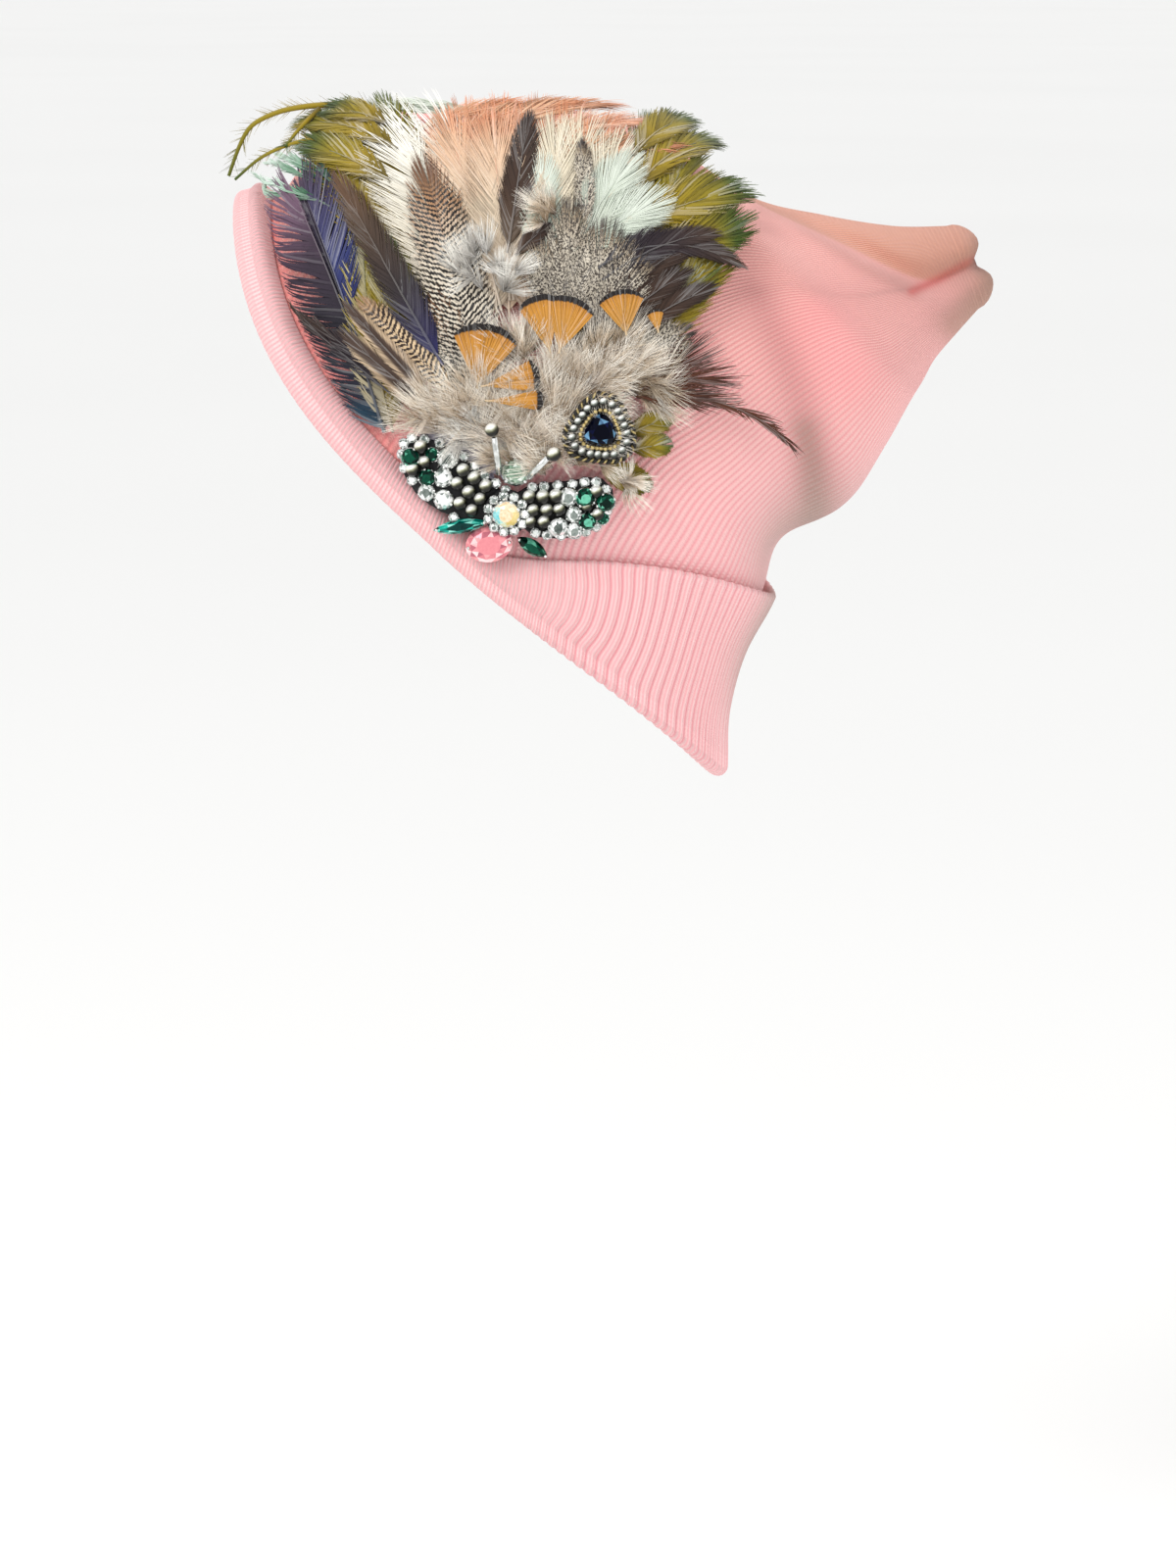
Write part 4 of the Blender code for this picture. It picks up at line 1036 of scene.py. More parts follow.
@dataclass(frozen=True)
class Vane:
    """How the barbs of a feather grow from its shaft; sides are its front and back halves."""

    outline: Outline
    barbs: int
    barb_width: float
    splay: tuple[float, float] = (60.0, 25.0)
    curl: float = 0.5
    bare: float = 0.12
    clump: float = 0.35
    ragged: float = 0.15
    cup: float = 0.0006
    loft: float = 0.0008
    hairs: int = 0
    shaft: float = 0.0005
    sides: tuple[float, float] = (1.0, 1.0)
    longest: float = 1.5
    steps: int = 6
    stray: float = 0.0
    mottle: float = 0.0


class Plume(NamedTuple):
    """A feather's foot and tip in the layout, how far it turns, and its half width in mm."""

    foot: tuple[float, float]
    tip: tuple[float, float]
    turn: float
    half_width: float


@dataclass
class FeatherGroup:
    """Feathers of one kind that lie at one level of the cockade."""

    name: str
    node: str
    slot: str
    finish: VaneFinish
    vane: Vane
    plumes: tuple[Plume, ...]
    height: float
    seed: int
    step_up: float = 0.0003

    def build(self, layout: Layout) -> None:
        """Makes the group as one piece."""
        strands = Strands()
        rng = np.random.default_rng(self.seed)
        self.fill(strands, layout, rng)
        piece = strands.made(self.name, self.finish.made())
        if self.node:
            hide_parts(self.node)

    def fill(self, strands: Strands, layout: Layout, rng: np.random.Generator) -> None:
        """Grows every feather of the group."""
        for i, plume in enumerate(self.plumes):
            path = layout.aimed(plume.foot, plume.tip, plume.turn, self.height)
            self.grow(strands, layout, path, plume.half_width * MM, self.height + self.step_up * i, rng)

    def grow(
        self, strands: Strands, layout: Layout, path: Path, half_width: float, height: float, rng: np.random.Generator
    ) -> None:
        """Grows one feather's shaft and barbs along a path."""
        vane = self.vane
        end = math.radians(vane.splay[1]) * (1 - vane.curl / 2)
        last = float(vane.outline.width(np.array([1.0]))[0])
        overhang = min(half_width * last / max(math.sin(end), 0.15), vane.longest * half_width) * math.cos(end)
        shaft_share = 0.97 if vane.outline is Outline.SHELL else max(0.4, 1 - 0.85 * overhang / path.length)
        shares = np.linspace(0, shaft_share, 24)
        points, _, sides, outs = path.at(shares)
        line = layout.laid(points, height + 0.0004)
        strands.shaft(line, vane.shaft * (1.05 - 0.85 * np.linspace(0, 1, 24)), sides, outs, 0.85)
        for side, spread in zip((1.0, -1.0), vane.sides):
            if vane.outline is Outline.SHELL:
                self.shell(strands, layout, path, half_width * spread, side, height, rng)
            elif spread > 0:
                self.comb(strands, layout, path, shaft_share, half_width * spread, side, height, rng)

    def comb(
        self, strands: Strands, layout: Layout, path: Path, shaft_share: float, half_width: float, side: float,
        height: float, rng: np.random.Generator,
    ) -> None:
        """Grows the barbs of one side of a feather."""
        vane = self.vane
        count = vane.barbs
        grown = np.clip((np.arange(count) + rng.random(count) * 0.8) / count, 0, 0.999)
        share = (vane.bare + (1 - vane.bare) * grown) * shaft_share
        points, ways, sides, outs = path.at(share)
        reach = half_width * vane.outline.width(grown) * (1 - vane.ragged * rng.random(count) ** 1.5)
        splay = np.radians(vane.splay[0] + (vane.splay[1] - vane.splay[0]) * grown)
        splay = splay * (1 - 0.85 * np.clip((grown - 0.78) / 0.22, 0, 1) ** 1.3)
        splay = splay + rng.normal(0, 0.035 + 0.12 * vane.stray, count)
        t = np.linspace(0, 1, vane.steps + 1)
        bend = vane.curl + rng.normal(0, 0.1 + vane.stray, count)
        angle = splay[:, None] - bend[:, None] * t[None, :] * np.sin(splay)[:, None]
        sin_sum = np.concatenate([np.zeros((count, 1)), np.cumsum(np.sin(angle[:, 1:]), axis=1)], axis=1) / vane.steps
        cos_sum = np.concatenate([np.zeros((count, 1)), np.cumsum(np.cos(angle[:, 1:]), axis=1)], axis=1) / vane.steps
        barb = np.minimum(reach / np.maximum(np.abs(sin_sum[:, -1]), 0.15), vane.longest * half_width)[:, None]
        lateral, forward = sin_sum * barb, cos_sum * barb
        group = np.floor(grown * count / 9 + 0.9 * np.sin(grown * 21 + side))
        mean = np.array([share[group == g].mean() for g in group])
        forward = forward + ((mean - share) * path.length * vane.clump)[:, None] * t[None, :] ** 1.5
        centres = points[:, None] + ways[:, None] * forward[..., None] + sides[:, None] * (side * lateral)[..., None]
        loft = rng.random(count)[:, None] * vane.loft * t[None, :]
        rise = height + loft - vane.cup * t[None, :] ** 2
        centres = layout.laid(centres, np.maximum(rise, 0.0006))
        along = np.gradient(centres, axis=1)
        beside = np.cross(along, np.repeat(outs[:, None], vane.steps + 1, axis=1))
        beside /= np.maximum(np.linalg.norm(beside, axis=2, keepdims=True), 1e-9)
        halves = beside * (vane.barb_width / 2 * (1 - 0.85 * t**2.2))[None, :, None]
        u = np.clip(share[:, None] + forward / path.length, 0, 1)
        v = 0.5 + 0.5 * side * np.clip(np.abs(lateral) / half_width, 0, 1)
        tuft = np.sin(group * 12.9898 + side) * 0.5 + 0.5
        shades = np.clip(0.25 + 0.5 * tuft + rng.normal(0, 0.18, count) + rng.normal(0, vane.mottle), 0, 1)
        strands.ribbons(centres, halves, np.stack([u, v], axis=-1), shades)
        if vane.hairs:
            self.fringe(strands, centres, beside, u, v, shades, rng)

    def shell(
        self, strands: Strands, layout: Layout, path: Path, half_width: float, side: float, height: float,
        rng: np.random.Generator,
    ) -> None:
        """Grows one side of a shell-shaped feather, whose barbs end on an arc."""
        vane = self.vane
        count = vane.barbs
        turn = (np.arange(count) + 0.5) / count
        spread = math.atan2(half_width, path.length * 0.82)
        root, _, _, outs = path.at(0.05 + 0.5 * (1 - turn) ** 1.3)
        base, way, beside_way = path.points[0], path.ways[0], path.sides[0]
        radius = path.length * (1 - 0.07 * turn**3) * (1 - 0.02 * rng.random(count))
        tip = base + way * (np.cos(turn * spread) * radius)[:, None] + beside_way * (side * np.sin(turn * spread) * radius)[:, None]
        knee = base + (tip - base) * 0.42
        t = np.linspace(0, 1, vane.steps + 1)[None, :, None]
        centres = (1 - t) ** 2 * root[:, None] + 2 * t * (1 - t) * knee[:, None] + t * t * tip[:, None]
        rise = height + 0.0012 * (1 - turn[:, None] ** 2) * t[..., 0] + rng.random(count)[:, None] * vane.loft * t[..., 0]
        away = np.linalg.norm(centres - base, axis=2)
        centres = layout.laid(centres, rise)
        along = np.gradient(centres, axis=1)
        beside = np.cross(along, np.repeat(outs[:, None], vane.steps + 1, axis=1))
        beside /= np.maximum(np.linalg.norm(beside, axis=2, keepdims=True), 1e-9)
        halves = beside * vane.barb_width / 2 * (0.35 + 0.65 * t)
        v = np.repeat(0.5 + 0.5 * side * turn[:, None], vane.steps + 1, axis=1)
        shades = np.clip(0.5 + rng.normal(0, 0.2, count), 0, 1)
        strands.ribbons(centres, halves, np.stack([np.clip(away / path.length, 0, 1), v], axis=-1), shades)

    def fringe(
        self, strands: Strands, centres: np.ndarray, beside: np.ndarray, u: np.ndarray, v: np.ndarray,
        shades: np.ndarray, rng: np.random.Generator,
    ) -> None:
        """Grows short hairs along the barbs, for a soft edge."""
        hairs = self.vane.hairs
        count = centres.shape[0]
        place = (np.arange(hairs) + 0.5) / hairs * (centres.shape[1] - 1.001)
        low = place.astype(int)
        part = (place - low)[None, :, None]
        root = centres[:, low] * (1 - part) + centres[:, low + 1] * part
        way = centres[:, low + 1] - centres[:, low]
        way /= np.maximum(np.linalg.norm(way, axis=2, keepdims=True), 1e-9)
        cross = beside[:, low]
        sign = np.where(rng.random((count, hairs, 1)) < 0.5, -1.0, 1.0)
        reach = self.vane.barb_width * (0.9 + 0.9 * rng.random((count, hairs, 1)))
        tip = root + way * reach * 0.9 + cross * sign * reach * 0.75
        line = np.stack([root, tip], axis=2).reshape(-1, 2, 3)
        width = np.repeat((way * 0.00007).reshape(-1, 1, 3), 2, axis=1)
        width[:, 1] *= 0.3
        uu = np.repeat(u[:, low].reshape(-1, 1), 2, axis=1)
        vv = np.repeat(v[:, low].reshape(-1, 1), 2, axis=1)
        strands.ribbons(line, width, np.stack([uu, vv], axis=-1), np.repeat(shades, hairs))


class Tuft(NamedTuple):
    """A tuft of down: its place and radius, where its plumules head, how much they differ,
    their length and half width in millimetres and their number."""

    across: float
    up: float
    radius: float
    heading: float
    spread: float
    length: float
    half_width: float
    count: int


@dataclass
class DownTuft(FeatherGroup):
    """Soft down: many small plumules that spring from a few places."""

    tufts: tuple[Tuft, ...] = ()
    depth: float = 0.003

    def fill(self, strands: Strands, layout: Layout, rng: np.random.Generator) -> None:
        """Grows every plumule."""
        for tuft in self.tufts:
            for _ in range(tuft.count):
                turn, away = rng.random() * math.tau, math.sqrt(rng.random()) * tuft.radius
                side = math.cos(turn) * away
                foot = layout.seen_at(tuft.across + side, tuft.up + math.sin(turn) * away)
                heading = tuft.heading + rng.normal(0, tuft.spread) - side / tuft.radius * 30
                length = tuft.length * MM * (0.6 + 0.6 * rng.random())
                path = layout.walk(foot, heading, rng.normal(0, 45), length, 8)
                height = self.height + self.depth * rng.random()
                self.grow(strands, layout, path, tuft.half_width * MM * (0.6 + 0.6 * rng.random()), height, rng)


class Stray(NamedTuple):
    """A loose strand: its width in millimetres and points across, up and out, in millimetres."""

    width: float
    points: tuple[tuple[float, float, float], ...]


@dataclass
class StrayStrands:
    """Strands that stand clear of the hat, among them the open loop at the front."""

    name: str
    slot: str
    finish: VaneFinish
    strays: tuple[Stray, ...]

    def build(self, layout: Layout) -> None:
        """Makes the strands as one piece."""
        strands = Strands()
        rng = np.random.default_rng(7)
        out = np.array(layout.normal())
        across, up = np.array(layout.across), np.array(layout.up)
        for stray in self.strays:
            corners = np.array(stray.points) * MM
            place = np.arange(len(corners))
            smooth = np.linspace(0, len(corners) - 1, 40)
            soft = [np.interp(smooth, place, corners[:, k]) for k in range(3)]
            for _ in range(6):
                soft = [np.concatenate([[c[0]], (c[:-2] + 2 * c[1:-1] + c[2:]) / 4, [c[-1]]]) for c in soft]
            line = across * soft[0][:, None] + up * soft[1][:, None] + out * soft[2][:, None]
            way = np.gradient(line, axis=0)
            way /= np.linalg.norm(way, axis=1, keepdims=True)
            beside = np.cross(way, out)
            beside /= np.linalg.norm(beside, axis=1, keepdims=True)
            t = np.linspace(0, 1, 40)
            radii = stray.width / 2 * MM * (1 - 0.55 * t)
            strands.shaft(line, radii, beside, np.cross(beside, way), 0.5)
            for i in range(120):
                s = rng.random() * 38
                k = int(s)
                root = line[k] + (line[k + 1] - line[k]) * (s - k)
                sign = rng.choice([-1.0, 1.0])
                reach = stray.width * MM * (0.6 + 0.8 * rng.random())
                tip = root + way[k] * reach * 1.4 + beside[k] * sign * reach
                ribbon = np.stack([root, tip])[None]
                width = np.stack([way[k] * 0.00018, way[k] * 0.00004])[None]
                strands.ribbons(ribbon, width, np.full((1, 2, 2), s / 38), np.array([rng.random()]))
        piece = strands.made(self.name, self.finish.made())


CREAM, TAN = srgb(236, 229, 212), srgb(206, 184, 158)

OLIVE_FINISH = VaneFinish(
    "olive_barbs",
    ((0.0, srgb(80, 68, 12)), (0.4, srgb(152, 128, 12)), (0.75, srgb(140, 124, 14)), (1.0, srgb(64, 84, 14))),
    varied=0.6,
)
TEAL_FINISH = VaneFinish(
    "teal_barbs", ((0.0, srgb(30, 52, 40)), (0.3, srgb(48, 100, 70)), (0.5, srgb(112, 158, 128)), (0.75, srgb(200, 222, 208))), varied=0.45
)
VIOLET_FINISH = VaneFinish(
    "violet_barbs",
    ((0.0, srgb(8, 62, 84)), (0.16, srgb(8, 12, 36)), (0.42, srgb(18, 12, 30)), (0.66, srgb(44, 28, 48)), (0.9, srgb(98, 70, 92))),
    varied=0.32,
)
INK_FINISH = VaneFinish("ink_barbs", ((0.0, srgb(8, 40, 58)), (0.2, srgb(10, 10, 26)), (0.6, srgb(26, 20, 44)), (1.0, srgb(64, 48, 72))), varied=0.3)
INDIGO_FINISH = VaneFinish("indigo_barbs", ((0.0, srgb(20, 24, 70)), (0.5, srgb(32, 42, 100)), (1.0, srgb(70, 56, 74))), varied=0.5)
CREAM_FINISH = VaneFinish("cream_barbs", ((0.0, srgb(206, 192, 172)), (0.5, CREAM), (1.0, srgb(246, 244, 236))), varied=0.3)
TAN_FINISH = VaneFinish("tan_barbs", ((0.0, srgb(190, 172, 150)), (0.5, srgb(216, 196, 170)), (0.85, srgb(226, 184, 150)), (1.0, srgb(232, 160, 118))), varied=0.45)
PEACH_FINISH = VaneFinish("peach_barbs", ((0.0, TAN), (0.55, srgb(228, 178, 140)), (1.0, srgb(222, 144, 100))), varied=0.5)
MINT_FINISH = VaneFinish("mint_barbs", ((0.0, srgb(180, 182, 164)), (0.5, srgb(202, 211, 196)), (1.0, srgb(222, 229, 216))), varied=0.4)
IVORY_FINISH = VaneFinish("ivory_barbs", ((0.0, srgb(190, 178, 156)), (0.5, srgb(222, 210, 186)), (1.0, srgb(238, 228, 204))), varied=0.45)
BARRED_FINISH = VaneFinish(
    "barred_barbs",
    ((0.0, srgb(196, 190, 178)), (0.6, srgb(228, 216, 196)), (0.84, srgb(168, 126, 90)), (1.0, srgb(104, 70, 48))),
    Pattern.CHEVRON, srgb(22, 16, 14), 52.0, 0.2,
)
SMALL_BARRED_FINISH = VaneFinish(
    "small_barred_barbs",
    ((0.0, srgb(212, 186, 150)), (0.7, srgb(218, 190, 152)), (1.0, srgb(150, 112, 76))),
    Pattern.CHEVRON, srgb(46, 32, 26), 24.0, 0.25,
)
SPECKLED_FINISH = VaneFinish(
    "speckled_barbs",
    ((0.0, srgb(196, 186, 170)), (0.7, srgb(216, 206, 188)), (0.88, srgb(160, 142, 118)), (0.96, srgb(60, 46, 40)), (1.0, srgb(26, 20, 20))),
    Pattern.SPECKLE, srgb(78, 70, 64), 30.0, 0.3,
)
HACKLE_FINISH = VaneFinish(
    "hackle_barbs",
    ((0.0, srgb(34, 34, 88)), (0.2, srgb(40, 36, 66)), (0.4, srgb(44, 36, 38)), (0.75, srgb(74, 56, 42)), (1.0, srgb(100, 72, 50))),
    varied=0.26, roughness=0.75,
)
BROWN_FINISH = VaneFinish(
    "brown_barbs", ((0.0, srgb(100, 84, 68)), (0.4, srgb(66, 46, 34)), (1.0, srgb(50, 34, 28))), varied=0.4, roughness=0.75
)
PLUM_FINISH = VaneFinish(
    "plum_barbs", ((0.0, srgb(28, 22, 34)), (0.5, srgb(40, 29, 36)), (1.0, srgb(64, 46, 36))), varied=0.3, roughness=0.75
)
TAN_HACKLE_FINISH = VaneFinish(
    "striped_barbs",
    ((0.0, srgb(150, 130, 110)), (0.5, srgb(188, 164, 136)), (1.0, srgb(204, 178, 144))),
    Pattern.STRIPED, srgb(70, 52, 42), varied=0.4, roughness=0.45,
)
RUSSET_FINISH = VaneFinish(
    "russet_barbs", ((0.0, srgb(56, 36, 24)), (0.5, srgb(100, 54, 32)), (1.0, srgb(72, 40, 28))), varied=0.4, roughness=0.75
)
AMBER_FINISH = VaneFinish(
    "amber_barbs",
    ((0.0, srgb(206, 180, 134)), (0.3, srgb(198, 144, 64)), (0.75, srgb(204, 142, 52)), (1.0, srgb(176, 112, 34))),
    Pattern.RIMMED, srgb(26, 18, 16), varied=0.5, roughness=0.5,
)
LILAC_FINISH = VaneFinish("lilac_barbs", ((0.0, srgb(132, 126, 146)), (0.5, srgb(158, 152, 170)), (1.0, srgb(186, 180, 190))), varied=0.4)
DOWN_FINISH = VaneFinish("down_hair", ((0.0, srgb(84, 66, 52)), (0.35, srgb(160, 138, 112)), (0.75, srgb(218, 199, 174)), (1.0, srgb(248, 240, 226))), varied=0.66, roughness=0.9)
WHITE_DOWN_FINISH = VaneFinish("white_down_hair", ((0.0, srgb(92, 86, 80)), (0.5, srgb(186, 181, 173)), (1.0, srgb(242, 239, 231))), varied=0.6, roughness=0.9)

OSTRICH = Vane(Outline.PLUME, 170, 0.00085, (54, 26), 0.5, 0.04, 0.5, 0.22, 0.001, 0.0030, 6, longest=1.5, stray=0.05, mottle=0.2)
INK_VANE = Vane(Outline.PLUME, 130, 0.00105, (68, 58), 0.10, 0.02, 0.35, 0.14, 0.0006, 0.0016, 9, 0.0006, (1.0, 0.0), 1.3)
FINE_PLUME = Vane(Outline.PLUME, 200, 0.00042, (44, 24), 0.25, 0.06, 0.18, 0.10, 0.001, 0.0026, 0, 0.0005, longest=1.7, stray=0.02, mottle=0.12)
CLOSED_VANE = Vane(Outline.OVAL, 180, 0.00056, (50, 30), 0.40, 0.10, 0.20, 0.14, 0.0008, 0.0012, 0, 0.0004, longest=1.2)
SOFT_VANE = Vane(Outline.OVAL, 150, 0.00046, (54, 26), 0.40, 0.05, 0.45, 0.35, 0.0006, 0.0030, 0, 0.0004, stray=0.15)
LANCE_VANE = Vane(Outline.LANCE, 190, 0.00050, (36, 16), 0.30, 0.06, 0.25, 0.18, 0.0010, 0.0012, 0, 0.0005)
SHELL_VANE = Vane(Outline.SHELL, 60, 0.00040, loft=0.0009, shaft=0.00035)
DOWN_VANE = Vane(Outline.PLUME, 26, 0.00016, (50, 20), 0.7, 0.04, 0.6, 0.6, -0.0006, 0.0030, 0, 0.00011, longest=2.6, steps=4, stray=0.35, mottle=0.3)
BROAD_VANE = Vane(Outline.BROAD, 200, 0.00058, (52, 30), 0.35, 0.02, 0.12, 0.14, 0.0008, 0.0012, 0, 0.0004, longest=1.3)
WISP_VANE = Vane(Outline.LANCE, 60, 0.00040, (24, 8), 0.2, 0.05, 0.8, 0.5, 0.001, 0.0030, 0, 0.0004, longest=3.0, stray=0.2)


